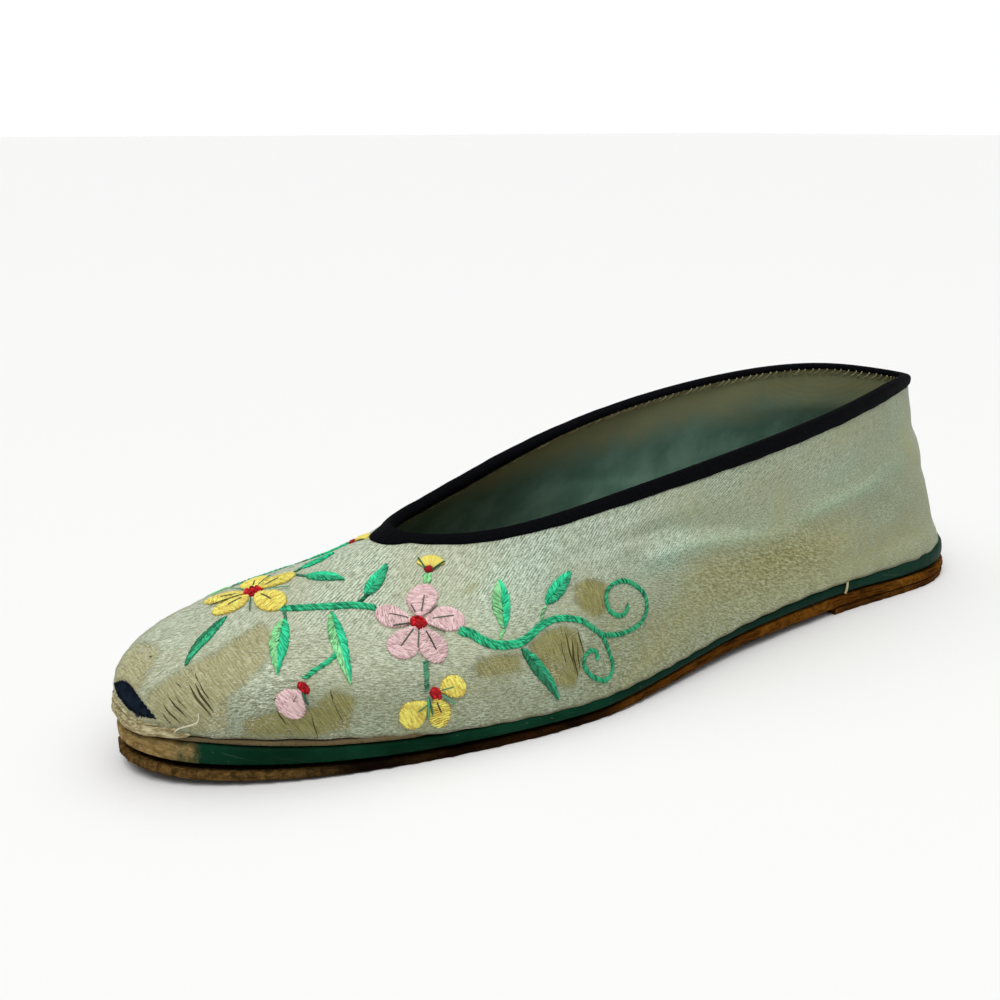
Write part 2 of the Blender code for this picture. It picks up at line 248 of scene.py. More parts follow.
# Aqua tint and painted highlight: the narrow spots along the fold ridges are painted highlights, the broad
# ones an aqua tint.
AQUA_AND_SHEEN = np.array([
    (168.0, -43.3, 9.0, 1.7, 1.0), (185.0, -44.0, 11.0, 2.0, 0.9), (203.0, -43.0, 8.0, 3.0, 0.6),
    (112.0, -38.0, 8.0, 2.2, 0.8), (125.0, -39.4, 8.0, 1.8, 0.9), (140.0, -41.8, 9.0, 1.8, 0.9),
    (152.0, -45.5, 6.0, 1.6, 0.8), (178.3, -36.5, 12.0, 3.5, 0.45), (118.96, -32.56, 18.0, 4.0, 0.35),
    (207.89, -34.76, 10.0, 6.0, 0.4), (198.75, -53.66, 5.0, 4.0, 0.4), (80.44, -23.3, 16.0, 5.0, 0.35),
    (150.73, 40.64, 30.0, 8.0, 0.35), (100.18, 34.11, 24.0, 6.0, 0.3),
])
CREPE = np.array([
    (148.0, -49.5, 20.0, 5.5, 1.0), (162.0, -54.0, 13.0, 4.5, 0.8), (128.0, -46.0, 12.0, 5.0, 0.6),
    (161.83, 56.89, 26.0, 8.0, 0.6),
])
FUZZ = np.array([
    (10.33, 1.68, 8.0, 5.0, 1.0), (6.47, -6.3, 5.5, 2.2, 0.8), (16.04, -22.07, 8.5, 2.6, 1.1),
    (2.72, -19.29, 5.0, 1.4, 1.0), (29.06, -18.85, 9.0, 5.0, 0.8), (22.39, 6.31, 8.0, 6.0, 0.7),
    (73.71, -45.15, 3.5, 2.0, 0.7), (86.51, -32.02, 2.0, 3.0, 0.6), (22.82, -32.45, 9.0, 1.1, 1.0),
    (42.38, -27.61, 10.0, 7.0, 0.55), (55.04, -40.54, 14.0, 7.0, 0.45), (10.37, 14.06, 9.0, 6.0, 0.8),
    (30.46, 21.87, 14.0, 8.0, 0.6),
])
# Splits in the cloth: from u, v to u, v, then half width.
SPLITS = np.array([
    (2.19, -11.32, 1.52, -15.08, 0.27), (0.26, -10.94, -0.78, -14.49, 0.27),
    (-1.38, -11.29, -2.68, -13.27, 0.22), (6.87, -12.69, 5.22, -18.42, 0.34),
    (3.4, -12.0, 2.9, -14.6, 0.15), (7.86, -13.31, 6.31, -18.24, 0.36), (8.7, -13.6, 7.5, -17.0, 0.18),
    (5.25, -10.84, 5.35, -12.18, 0.18), (4.77, -1.82, 4.94, -2.59, 0.22),
    (16.4, -24.54, 15.46, -27.0, 0.22), (21.46, -28.16, 19.01, -31.16, 0.15),
    (28.1, -27.02, 27.31, -28.36, 0.22), (27.26, -28.22, 25.68, -32.25, 0.1),
    (80.04, -39.26, 79.13, -48.52, 0.26), (80.9, -41.5, 79.3, -49.8, 0.34),
    (78.4, -40.2, 77.3, -46.5, 0.16), (83.1, -40.08, 82.6, -46.2, 0.26), (81.9, -43.0, 80.6, -48.6, 0.20),
    (9.25, -12.0, 8.42, -13.61, 0.12),
])


def column(table, names, name):
    """One named column of a table."""
    return table[:, names.index(name)]


def ease(x):
    """Smooth step from 0 to 1."""
    t = np.clip(x, 0.0, 1.0)
    return t * t * (3.0 - 2.0 * t)


def unit(vectors):
    """Vectors scaled to length one along their last axis."""
    return vectors / np.linalg.norm(vectors, axis=-1, keepdims=True)


def ray_at(angle):
    """Flat unit vectors at angles."""
    return np.stack([np.cos(angle), np.sin(angle)], axis=-1)


def square_to(flat):
    """Flat vectors turned a quarter turn to the left."""
    return np.stack([-flat[..., 1], flat[..., 0]], axis=-1)


def run_along(points):
    """Length along a line from its first point to each point."""
    return np.concatenate([[0.0], np.cumsum(np.linalg.norm(np.diff(points, axis=0), axis=1))])


def run_round(loop):
    """Length round a closed loop to each point, its whole length last."""
    return run_along(np.vstack([loop, loop[:1]]))


def at_run(points, run, at):
    """Points of a line at lengths along it, straight between its own."""
    return np.stack([np.interp(at, run, points[:, k]) for k in range(points.shape[1])], axis=-1)


def table_at(table, at, k=1):
    """Value of a short table, straight between its rows."""
    return np.interp(at, table[:, 0], table[:, k])


def hermite(x, xs, ys, slope):
    """Cubic pieces through a table with the given slopes at its rows."""
    step = np.diff(xs)
    i = np.clip(np.searchsorted(xs, x, side="right") - 1, 0, len(xs) - 2)
    t = (x - xs[i]) / step[i]
    near = ys[i] * (1.0 + 2.0 * t) * (1.0 - t) ** 2 + slope[i] * step[i] * t * (1.0 - t) ** 2
    far = ys[i + 1] * t * t * (3.0 - 2.0 * t) + slope[i + 1] * step[i] * t * t * (t - 1.0)
    return near + far


def smooth(x, xs, ys):
    """Cubic through a short table that never passes its rows, level where two rows are equal."""
    step = np.diff(xs)
    rise = np.diff(ys) / step
    slope = np.zeros_like(ys)
    first = 2.0 * step[1:] + step[:-1]
    second = step[1:] + 2.0 * step[:-1]
    same = rise[1:] * rise[:-1] > 0.0
    safe = np.where(same[None, :], np.stack([rise[:-1], rise[1:]]), 1.0)
    mean = (first + second) / (first / safe[0] + second / safe[1])
    slope[1:-1] = np.where(same, mean, 0.0)
    slope[0] = rise[0]
    slope[-1] = rise[-1]
    return hermite(x, xs, ys, slope)


def spline(x, xs, ys, flat_ends=False):
    """Cubic with an even bend through a short table, level at both ends if asked."""
    step = np.diff(xs)
    rise = np.diff(ys) / step
    rows = np.diag(np.concatenate([[2.0], 2.0 * (1.0 / step[1:] + 1.0 / step[:-1]), [2.0]]))
    between = 3.0 * (rise[1:] / step[1:] + rise[:-1] / step[:-1])
    right = np.concatenate([[3.0 * rise[0]], between, [3.0 * rise[-1]]])
    inside = np.arange(1, len(xs) - 1)
    rows[inside, inside - 1] = 1.0 / step[:-1]
    rows[inside, inside + 1] = 1.0 / step[1:]
    rows[0, 1] = 0.0 if flat_ends else 1.0
    rows[-1, -2] = 0.0 if flat_ends else 1.0
    if flat_ends:
        right[0] = 0.0
        right[-1] = 0.0
    return hermite(x, xs, ys, np.linalg.solve(rows, right))


def sole_value(along, name):
    """Height or thickness of a sole layer at a fraction of the length."""
    return smooth(along, column(SOLE, SOLE_COLUMNS, "along"), column(SOLE, SOLE_COLUMNS, name))


def edge_value(along, name):
    """Inset or height of an edge at a fraction of the length."""
    return np.interp(along, column(EDGE, EDGE_COLUMNS, "along"), column(EDGE, EDGE_COLUMNS, name))


def half_width(along, table, names, side):
    """Half width, read through its square so that both ends are round."""
    squares = column(table, names, side) ** 2
    return np.sqrt(np.maximum(spline(along, table[:, 0], squares), 0.0))


def level_normal(loop):
    """Outward level normal of a closed loop that runs toe, outer flank, heel, inner flank."""
    along = np.roll(loop, -1, axis=0) - np.roll(loop, 1, axis=0)
    return -square_to(unit(along[:, :2]))


def outline(count, inset_name=None, start=0.0):
    """Plan outline as a closed loop, toe, outer flank, heel, inner flank, with a straight front at start."""
    turn = np.linspace(0.0, np.pi, count + 1)
    along = (1.0 - np.cos(turn)) / 2.0
    if start > 0.0:
        along = start + (1.0 - start) * np.sin(turn / 2.0)
    outer = np.stack([along * LENGTH, -half_width(along, PLAN, PLAN_COLUMNS, "outer")], axis=-1)
    inner = np.stack([along * LENGTH, half_width(along, PLAN, PLAN_COLUMNS, "inner")], axis=-1)
    back = inner[-2::-1] if start > 0.0 else inner[-2:0:-1]
    loop = np.vstack([outer, back])
    if inset_name is not None:
        inset = edge_value(loop[:, 0] / LENGTH, inset_name)
        loop = loop - level_normal(loop) * inset[:, None]
    return loop


def along_line(points, fraction):
    """Points at fractions of a line's own length."""
    run = run_along(points)
    return at_run(points, run / run[-1], fraction)


def band_top(along):
    """Height of the green band's upper face."""
    layers = sole_value(along, "outsole") + GAP + sole_value(along, "band")
    return sole_value(along, "under") + layers


def silk_edge(side, edge):
    """Lower edge of the upper on one side, at fractions of its length from toe to heel."""
    loop = outline(EDGE_POINTS, "silk")
    line = loop[:EDGE_POINTS + 1]
    if side > 0:
        line = np.vstack([loop[:1], loop[:EDGE_POINTS - 1:-1]])
    flat = along_line(line, edge)
    along = np.clip(flat[:, 0] / LENGTH, 0.0, 1.0)
    return np.column_stack([flat, band_top(along) + edge_value(along, "silk_height")])


def collar_line(side, fraction):
    """Collar edge of the upper on one side, at fractions of its length from throat to heel."""
    along = (1.0 - np.cos(np.linspace(0.0, np.pi, EDGE_POINTS + 1))) / 2.0
    name = "outer" if side < 0 else "inner"
    wide = half_width(along, COLLAR, COLLAR_COLUMNS, name)
    x = THROAT[0] + (HEEL_TOP[0] - THROAT[0]) * along
    y = THROAT[1] + (HEEL_TOP[1] - THROAT[1]) * along + side * wide
    z = spline(along, COLLAR[:, 0], column(COLLAR, COLLAR_COLUMNS, "height"))
    return along_line(np.column_stack([x, y, z]), fraction)


def both_sides(outer, inner):
    """Join the outer and inner halves into one loop round the foot."""
    return np.concatenate([outer, inner[-2:0:-1]])


def upper_face(sections, height):
    """Outer face of the upper: cubics that leave the sole at their lean and meet the collar at their slope.

    height holds the fractions up each curve, one row for all curves or a row for each.
    """
    edge = np.linspace(0.0, 1.0, sections + 1)
    share = smooth(edge, SECTION[:, 0], column(SECTION, SECTION_COLUMNS, "collar"))
    low = both_sides(silk_edge(-1, edge), silk_edge(1, edge))
    top = both_sides(collar_line(-1, share), collar_line(1, share))
    value = {}
    for name in SECTION_COLUMNS[2:]:
        half = spline(edge, SECTION[:, 0], column(SECTION, SECTION_COLUMNS, name), True)
        value[name] = both_sides(half, half)
    lean = np.radians(value["lean"])
    slope = np.radians(value["slope"])
    rise = np.column_stack([level_normal(low) * np.cos(lean)[:, None], np.sin(lean)])
    drop = np.column_stack([level_normal(top) * np.cos(slope)[:, None], -np.sin(slope)])
    first = low + rise * value["lift"][:, None]
    second = top + drop * value["reach"][:, None]
    h = np.atleast_2d(height)[:, :, None]
    lower = low[:, None] * (1.0 - h) ** 3 + 3.0 * first[:, None] * h * (1.0 - h) ** 2
    upper = 3.0 * second[:, None] * h * h * (1.0 - h) + top[:, None] * h ** 3
    return lower + upper


def face_normal(grid):
    """Outward unit normals of a grid that closes round its first axis."""
    around = np.roll(grid, -1, axis=0) - np.roll(grid, 1, axis=0)
    return unit(np.cross(around, np.gradient(grid, axis=1)))


def arc_from_collar(grid):
    """Length of each section curve from the collar down to each row."""
    step = np.linalg.norm(np.diff(grid[:, ::-1], axis=1), axis=2)
    run = np.concatenate([np.zeros((len(grid), 1)), np.cumsum(step, axis=1)], axis=1)
    return run[:, ::-1]


def ring_faces(around, profile, closed):
    """Quads of a grid that closes round its first axis, and across its second if closed."""
    j = np.arange(around)[:, None]
    last = profile if closed else profile - 1
    k = np.arange(last)[None, :]
    right = (j + 1) % around
    above = (k + 1) % profile
    quads = [j * profile + k, right * profile + k, right * profile + above, j * profile + above]
    return np.stack(quads, axis=-1).reshape(-1, 4)


def add_piece(name, points, faces, finish, uv=None, marks=None, replaces=(), sharp=None):
    """Put one surface into a mesh, in metres about the slipper's centre, riding on the root body.

    faces is a list of index arrays, one row a face; uv is a value for each corner in the same order; marks
    are values for each vertex.
    """
    mesh = bpy.data.meshes.new(name)
    place = (np.asarray(points, float).reshape(-1, 3) - CENTRE) * MM
    sizes = np.concatenate([np.full(len(f), f.shape[1]) for f in faces])
    corners = np.concatenate([f.ravel() for f in faces])
    mesh.vertices.add(len(place))
    mesh.vertices.foreach_set("co", place.ravel())
    mesh.loops.add(len(corners))
    mesh.loops.foreach_set("vertex_index", corners.astype(np.int32))
    mesh.polygons.add(len(sizes))
    starts = np.concatenate([[0], np.cumsum(sizes)[:-1]])
    mesh.polygons.foreach_set("loop_start", starts.astype(np.int32))
    mesh.update(calc_edges=True)
    mesh.polygons.foreach_set("use_smooth", np.ones(len(sizes), bool))
    if uv is not None:
        layer = mesh.uv_layers.new(name="pattern")
        layer.data.foreach_set("uv", np.asarray(uv, np.float32).ravel())
    for mark, values in (marks or {}).items():
        layer = mesh.attributes.new(mark, "FLOAT", "POINT")
        layer.data.foreach_set("value", np.asarray(values, np.float32).ravel())
    mesh.validate()
    if sharp is not None:
        mesh.set_sharp_from_angle(angle=np.radians(sharp))
    mesh.materials.append(finish)
    item = bpy.data.objects.new(name, mesh)
    bpy.context.scene.collection.objects.link(item)
    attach(item, "root")
    for node in replaces:
        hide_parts(node)
    return item


def weld(item):
    """Join the doubled vertices of a piece and turn its faces outwards."""
    work = bmesh.new()
    work.from_mesh(item.data)
    bmesh.ops.remove_doubles(work, verts=work.verts, dist=WELD)
    bmesh.ops.dissolve_degenerate(work, edges=work.edges, dist=WELD)
    bmesh.ops.recalc_face_normals(work, faces=work.faces)
    work.to_mesh(item.data)
    work.free()
    return item


class Finish:
    """A node material under construction. Methods add one node and give back its output socket."""

    def __init__(self, name):
        self.material = bpy.data.materials.new(name)
        self.material.use_nodes = True
        self.tree = self.material.node_tree
        self.shader = self.tree.nodes["Principled BSDF"]

    def add(self, kind, inputs, out=0, **settings):
        """One node with its settings, its inputs linked or set."""
        item = self.tree.nodes.new(kind)
        for key, value in settings.items():
            setattr(item, key, value)
        for key, value in inputs.items():
            self.feed(item.inputs[key], value)
        return item.outputs[out]

    def feed(self, socket, value):
        """Link a socket into an input, or set a plain value there, a colour as red, green and blue."""
        if isinstance(value, bpy.types.NodeSocket):
            self.tree.links.new(value, socket)
        elif socket.type == "RGBA":
            socket.default_value = (*value, 1.0)
        else:
            socket.default_value = value

    def surface(self, **inputs):
        """Set the shader's own inputs, written with underscores for spaces."""
        for key, value in inputs.items():
            self.feed(self.shader.inputs[key.replace("_", " ")], value)
        return self.material

    def place(self):
        return self.add("ShaderNodeTexCoord", {}, "Object")

    def pattern(self):
        return self.add("ShaderNodeUVMap", {}, "UV", uv_map="pattern")

    def mark(self, name):
        return self.add("ShaderNodeAttribute", {}, "Fac", attribute_name=name)

    def lengthwise(self, vector):
        """The part of a vector that runs from toe to heel."""
        return self.add("ShaderNodeSeparateXYZ", {"Vector": vector}, "X")

    def turned(self, vector, scale, turn=0.0):
        """A vector turned about Z and then scaled."""
        spun = self.add("ShaderNodeMapping", {"Vector": vector, "Rotation": (0.0, 0.0, turn)})
        return self.add("ShaderNodeMapping", {"Vector": spun, "Scale": scale})

    def noise(self, vector, scale, detail=2.0, rough=0.5, twist=0.0):
        inputs = {
            "Vector": vector, "Scale": scale, "Detail": detail, "Roughness": rough, "Distortion": twist,
        }
        return self.add("ShaderNodeTexNoise", inputs)

    def sum(self, a, b):
        return self.add("ShaderNodeMath", {0: a, 1: b}, operation="ADD")

    def times(self, a, b):
        return self.add("ShaderNodeMath", {0: a, 1: b}, operation="MULTIPLY")

    def step(self, value, low, high, to_low=0.0, to_high=1.0):
        """Smooth rise of a value between two limits."""
        inputs = {
            "Value": value, "From Min": low, "From Max": high, "To Min": to_low, "To Max": to_high,
        }
        return self.add("ShaderNodeMapRange", inputs, interpolation_type="SMOOTHSTEP")

    def blend(self, share, a, b):
        """Mix of two values by a share."""
        return self.add("ShaderNodeMix", {"Factor": share, 2: a, 3: b})

    def mix(self, share, a, b, how="MIX"):
        """Mix of two colours by a share."""
        inputs = {"Factor": share, 6: a, 7: b}
        return self.add("ShaderNodeMix", inputs, 2, data_type="RGBA", blend_type=how)

    def waves(self, vector, scale, twist=0.0, direction="X", detail=1.0, detail_scale=1.0):
        """Fine ribs across one direction of a vector."""
        inputs = {
            "Vector": vector, "Scale": scale, "Distortion": twist, "Detail": detail,
            "Detail Scale": detail_scale,
        }
        return self.add("ShaderNodeTexWave", inputs, "Fac", bands_direction=direction)

    def bump(self, height, depth, strength=1.0, under=None):
        """Bump of a height from 0 to 1, depth in metres."""
        inputs = {"Height": height, "Distance": depth, "Strength": strength}
        if under is not None:
            inputs["Normal"] = under
        return self.add("ShaderNodeBump", inputs)


def spots(u, v, table):
    """Sum of soft spots: each falls off as a bell of its half length and half width."""
    total = np.zeros_like(u)
    for su, sv, long, wide, amount in table:
        total = total + amount * np.exp(-((u - su) / long) ** 2 - ((v - sv) / wide) ** 2)
    return np.clip(total, 0.0, 1.2)


def inside(u, v, corners):
    """Signed distance to a closed outline, positive inside."""
    p = np.stack([u, v], axis=-1)
    near = np.full(u.shape, 1e9)
    within = np.zeros(u.shape, bool)
    corners = np.asarray(corners, float)
    for a, b in zip(corners, np.roll(corners, -1, axis=0)):
        edge = b - a
        t = np.clip(((p - a) @ edge) / (edge @ edge), 0.0, 1.0)
        near = np.minimum(near, np.linalg.norm(p - a - t[..., None] * edge, axis=-1))
        level = (a[1] > v) != (b[1] > v)
        rise = edge[1] if abs(edge[1]) > 1e-9 else 1e-9
        within = within ^ (level & (u < a[0] + edge[0] * (v - a[1]) / rise))
    return np.where(within, near, -near)


def folds(u, v):
    """Height of the soft folds: a bell across each line, fading out at its two ends."""
    total = np.zeros_like(u)
    for au, av, bu, bv, wide, high in FOLDS:
        edge = np.array([bu - au, bv - av])
        size = np.hypot(*edge)
        t = ((u - au) * edge[0] + (v - av) * edge[1]) / size ** 2
        off = np.abs((u - au) * edge[1] - (v - av) * edge[0]) / size
        ends = ease((t + 0.15) / 0.35) * ease((1.15 - t) / 0.35)
        total = total + high * ends * np.exp(-(off / wide) ** 2)
    return total


def cloth_chart(grid, low, total):
    """Flat cutting pattern of the upper.

    In front each point lies at its arc length from the collar along a ray that leaves the collar in plan.
    From the waist back the flank is unrolled: length along its middle row against length from the collar.
    """
    count = len(grid) // 2
    rows = grid.shape[1]
    top = grid[:, -1]
    run = arc_from_collar(grid)
    away = low[:, :2] - top[:, :2]
    reach = np.linalg.norm(away, axis=1)
    spread = ease((reach / total - 0.3) / 0.5)[:, None]
    ray = unit(away / reach[:, None] * spread + level_normal(top) * (1.0 - spread))
    front = top[:, None, :2] + ray[:, None] * run[:, :, None]
    order = np.arange(2 * count)
    outer = order <= count
    part = np.where(outer, order, 2 * count - order) / count
    side = np.where(outer, -1.0, 1.0)
    along = run_round(grid[:, rows // 2])
    along = np.where(outer, along[:-1], along[-1] - along[:-1])
    half = np.where(outer, count // 2, 2 * count - count // 2)
    back_u = front[half, rows // 2, 0] + along - along[half]
    back_v = front[half, -1, 1][:, None] + side[:, None] * run
    back = np.stack([np.broadcast_to(back_u[:, None], back_v.shape), back_v], axis=-1)
    mix = ease((part - 0.42) / 0.2)[:, None, None]
    return front * (1.0 - mix) + back * mix


def raised_face(sections, rows, more=0.0):
    """Face of the upper above its drawn-up lower edge, its chart, and each section's fraction of length."""
    whole = upper_face(sections, np.linspace(0.0, 1.0, WHOLE_ROWS))
    total = arc_from_collar(whole)[:, 0]
    low = whole[:, 0]
    along = np.clip(low[:, 0] / LENGTH, 0.0, 1.0)
    raised = ((table_at(DRAWN_UP, along) + more) / total)[:, None]
    grid = upper_face(sections, raised + (1.0 - raised) * np.linspace(0.0, 1.0, rows)[None, :])
    return grid, cloth_chart(grid, low, total), along


def make_upper():
    """Visible outer face of the silk: the upper's face with folds, worn hollows and the toe hole pressed in.

    Folds, a slack of crossed sine waves and the hem's pucker lift the face along its normal; bare patches
    and the hole sink it. Near the hem it stands out and hangs down over the green band, fading as a bell.
    """
    grid, chart, along = raised_face(SECTIONS, ROWS)
    u = chart[:, :, 0]
    v = chart[:, :, 1]
    run = arc_from_collar(grid)
    above = run[:, :1] - run
    patches = [inside(u, v, patch) for patch in BARE]
    bare = np.max(patches, axis=0)
    hole = inside(u, v, TOE_HOLE)
    slack = np.sin(u * 0.31 + 0.9) * np.sin(v * 0.24 + u * 0.07)
    slack = slack + 0.7 * np.sin(u * 0.17 - v * 0.42 + 2.0)
    pucker = np.sin(u * 0.74 + 0.6 * np.sin(u * 0.21)) * np.exp(-(above / 3.5) ** 2)
    free = ease(run / COLLAR_HOLD) * ease(above / HEM_HOLD)
    lift = folds(u, v) * free + SLACK * slack * free + PUCKER * pucker
    lift = lift - BARE_DEPTH * ease((bare + 0.3) / 0.8)
    lift = lift - HOLE_DEPTH * ease((hole + 0.15) / 0.55) + HOLE_LIP * np.exp(-((hole + 0.5) / 0.5) ** 2)
    out = table_at(OVERHANG, along)[:, None] * np.exp(-(above / 4.5) ** 2)
    down = table_at(OVERHANG, along, 2)[:, None] * np.exp(-(above / 3.0) ** 2)
    shaped = grid + face_normal(grid) * (lift + out)[:, :, None]
    shaped[:, :, 2] -= down
    marks = {
        "bare": np.clip(bare, -6.0, 6.0),
        "olive": np.clip(np.max(patches[1:5], axis=0), -6.0, 6.0),
        "hole": np.clip(hole, -6.0, 6.0),
        "stain": spots(u, v, STAINS),
        "aqua_and_sheen": spots(u, v, AQUA_AND_SHEEN),
        "crepe": spots(u, v, CREPE),
        "fuzz": spots(u, v, FUZZ),
        # flank: how steep the face is; the finish darkens the silk by it as painted shade on the steeper
        # faces.
        "flank": ease((0.80 - face_normal(shaped)[:, :, 2]) / 0.55),
        "above": above,
    }
    return shaped, face_normal(shaped), chart, marks


def corner_chart(chart, grid_faces, rows):
    """Pattern coordinates for each corner, the heel column taking the side of its own face."""
    count = len(chart) // 2
    flat = chart.reshape(-1, 2)[grid_faces]
    first = grid_faces[:, 0] // rows
    at_heel = (grid_faces // rows == count) & (first == count)[:, None]
    flat[..., 1] = np.where(at_heel, -flat[..., 1], flat[..., 1])
    return flat


silk_points, silk_normals, silk_chart, silk_marks = make_upper()


def silk_finish():
    """Pale celadon silk: a leaning twill above, fuzzy lengthwise threads below, stains, bare khaki ground.

    Tones are mixed by zones along the cloth and above its hem; the marks give stains, bare patches and hole.
    Steeper faces are darkened as painted shade and the hem's edge as painted shadow; the fold ridges carry
    painted highlights with the aqua tint.
    """
    f = Finish("celadon_silk")
    at = f.pattern()
    bare = f.mark("bare")
    hole = f.mark("hole")
    stain = f.mark("stain")
    above = f.mark("above")
    lengthwise = f.lengthwise(at)
    # Weave
    broad = f.noise(at, 0.045, 3.0, 0.55)
    middle = f.noise(at, 0.21, 3.0, 0.6)
    grain = f.noise(at, 2.6, 2.0, 0.6)
    wander = f.noise(f.turned(at, (0.05, 0.6, 1.0), 0.2), 1.0, 2.0)
    shift = f.add("ShaderNodeCombineXYZ", {"X": f.times(wander, 0.9)})
    rib_at = f.add("ShaderNodeVectorMath", {0: at, 1: shift}, operation="ADD")
    twill_wave = f.waves(f.turned(rib_at, (1.0, 1.0, 1.0), 1.10), 0.56, 0.7, "X", 2.0, 0.8)
    twill = f.noise(f.turned(rib_at, (3.2, 0.55, 1.0), 1.10), 1.0, 2.0, 0.6, 0.3)
    ribs = f.sum(f.sum(f.times(twill_wave, 0.14), f.times(twill, 0.70)), 0.08)
    slub = f.noise(f.turned(at, (0.72, 3.9, 1.0), 0.42), 1.0, 3.0, 0.60, 0.2)
    floss = f.noise(f.turned(at, (1.25, 5.2, 1.0), 0.38), 1.0, 2.0, 0.7, 0.4)
    lower = f.step(above, 30.0, 4.0)
    thread = f.blend(f.step(above, 34.0, 12.0), ribs, slub)
    thread = f.sum(f.times(thread, 0.66), f.times(floss, 0.34))
    light = f.step(thread, 0.40, 0.60)
    # Tones along the cloth
    tone = f.mix(light, (0.213, 0.267, 0.174), (0.718, 0.790, 0.638))
    tone = f.mix(f.step(broad, 0.40, 0.62, 0.0, 0.34), tone, (0.44, 0.43, 0.27))
    tone = f.mix(f.times(lower, f.step(middle, 0.30, 0.75, 0.05, 0.50)), tone, (0.37, 0.37, 0.19))
    shaded = f.step(lengthwise, 95.0, 215.0)
    tone = f.mix(f.times(shaded, f.step(middle, 0.2, 0.8, 0.30, 0.70)), tone, (0.345, 0.380, 0.250))
    # Painted shade: the steeper faces darker, by the flank mark.
    tone = f.mix(f.mark("flank"), tone, (0.71, 0.735, 0.70), "MULTIPLY")
    beside = f.times(f.step(lengthwise, 62.0, 88.0), f.step(lengthwise, 165.0, 120.0))
    tone = f.mix(beside, tone, (0.86, 0.885, 0.915), "MULTIPLY")
    tone = f.mix(f.step(grain, 0.62, 0.36, 0.0, 0.32), tone, (0.62, 0.62, 0.50), "MULTIPLY")
    tone = f.mix(f.step(grain, 0.50, 0.74, 0.0, 0.28), tone, (0.66, 0.70, 0.55))
    dirt = f.times(f.times(stain, 0.95), f.step(f.noise(at, 0.55, 4.0, 0.65), 0.22, 0.66))
    tone = f.mix(dirt, tone, (0.325, 0.318, 0.150))
    # Aqua tint, and painted highlights along the fold ridges: lighter, greener and bluer.
    aqua_and_sheen = f.times(f.mark("aqua_and_sheen"), f.step(middle, 0.25, 0.65, 0.35, 1.0))
    tone = f.mix(aqua_and_sheen, tone, (0.94, 1.13, 1.14), "MULTIPLY")
    crepe = f.mark("crepe")
    tone = f.mix(f.times(crepe, 0.55), tone, (0.375, 0.375, 0.165))
    waist = f.times(f.step(lengthwise, 92.0, 125.0), f.step(lengthwise, 205.0, 170.0))
    tone = f.mix(waist, tone, (1.09, 1.08, 1.07), "MULTIPLY")
    below = f.times(lower, f.times(f.step(lengthwise, 64.0, 95.0), f.step(lengthwise, 195.0, 165.0)))
    tone = f.mix(below, tone, (1.23, 1.21, 1.13), "MULTIPLY")
    # Dashes of dark thread low on the flank and in the creased patch
    dash = f.noise(f.turned(at, (0.62, 2.7, 1.0), 0.45), 1.0, 2.0, 0.60, 0.8)
    lined = f.sum(f.times(below, 0.55), f.times(crepe, 0.45))
    tone = f.mix(f.times(lined, f.step(dash, 0.54, 0.42)), tone, (0.50, 0.49, 0.38), "MULTIPLY")
    tone = f.mix(f.times(lined, f.step(dash, 0.53, 0.64, 0.0, 0.55)), tone, (0.62, 0.65, 0.46))
    # Painted shadow along the silk's lower edge, where it meets the board and the band.
    hem = f.step(above, 0.9, 0.1)
    tone = f.mix(f.times(hem, 0.75), tone, (0.13, 0.11, 0.06))
    # Bare ground, with silk left in strands at its edges
    fringe = f.sum(f.times(f.sum(slub, -0.5), 4.5), f.times(f.sum(floss, -0.5), 2.5))
    ragged = f.sum(bare, fringe)
    worn = f.step(ragged, -0.4, 0.4)
    ground = f.noise(f.turned(rib_at, (3.3, 0.30, 1.0), 0.05), 1.0, 3.0, 0.65, 0.3)
    ground_tone = f.mix(f.step(ground, 0.36, 0.64), (0.270, 0.255, 0.115), (0.495, 0.480, 0.270))
    deep_tone = f.mix(f.step(ground, 0.36, 0.66), (0.172, 0.160, 0.042), (0.345, 0.330, 0.122))
    deep = f.step(f.sum(f.mark("olive"), fringe), -0.8, 0.2)
    ground_tone = f.mix(deep, ground_tone, deep_tone)
    ground_tone = f.mix(f.step(f.noise(at, 0.8, 3.0), 0.4, 0.75, 0.0, 0.5), ground_tone, (0.29, 0.25, 0.10))
    strands = f.step(f.sum(floss, f.times(slub, 0.6)), 0.86, 1.0)
    ground_tone = f.mix(f.times(strands, f.step(deep, 0.0, 1.0, 0.8, 0.12)), ground_tone, (0.56, 0.60, 0.44))
    tone = f.mix(f.times(worn, 0.95), tone, ground_tone)
    wool = f.times(f.mark("fuzz"), f.step(f.sum(floss, f.times(slub, 0.5)), 0.76, 0.90))
    tone = f.mix(f.times(wool, 0.85), tone, (0.70, 0.72, 0.59))
    # Hole at the toe
    torn = f.step(f.sum(hole, f.times(f.sum(f.noise(at, 1.6, 3.0), -0.5), 1.2)), -0.12, 0.16)
    rim = f.times(f.step(hole, -0.9, -0.2), f.step(hole, 0.3, -0.1))
    tone = f.mix(f.times(rim, 0.5), tone, (0.30, 0.25, 0.14))
    fade = f.step(f.noise(at, 2.4, 3.0), 0.35, 0.7)
    navy = f.mix(fade, (0.0012, 0.0026, 0.0060), (0.0045, 0.0080, 0.0150))
    tone = f.mix(torn, tone, navy)
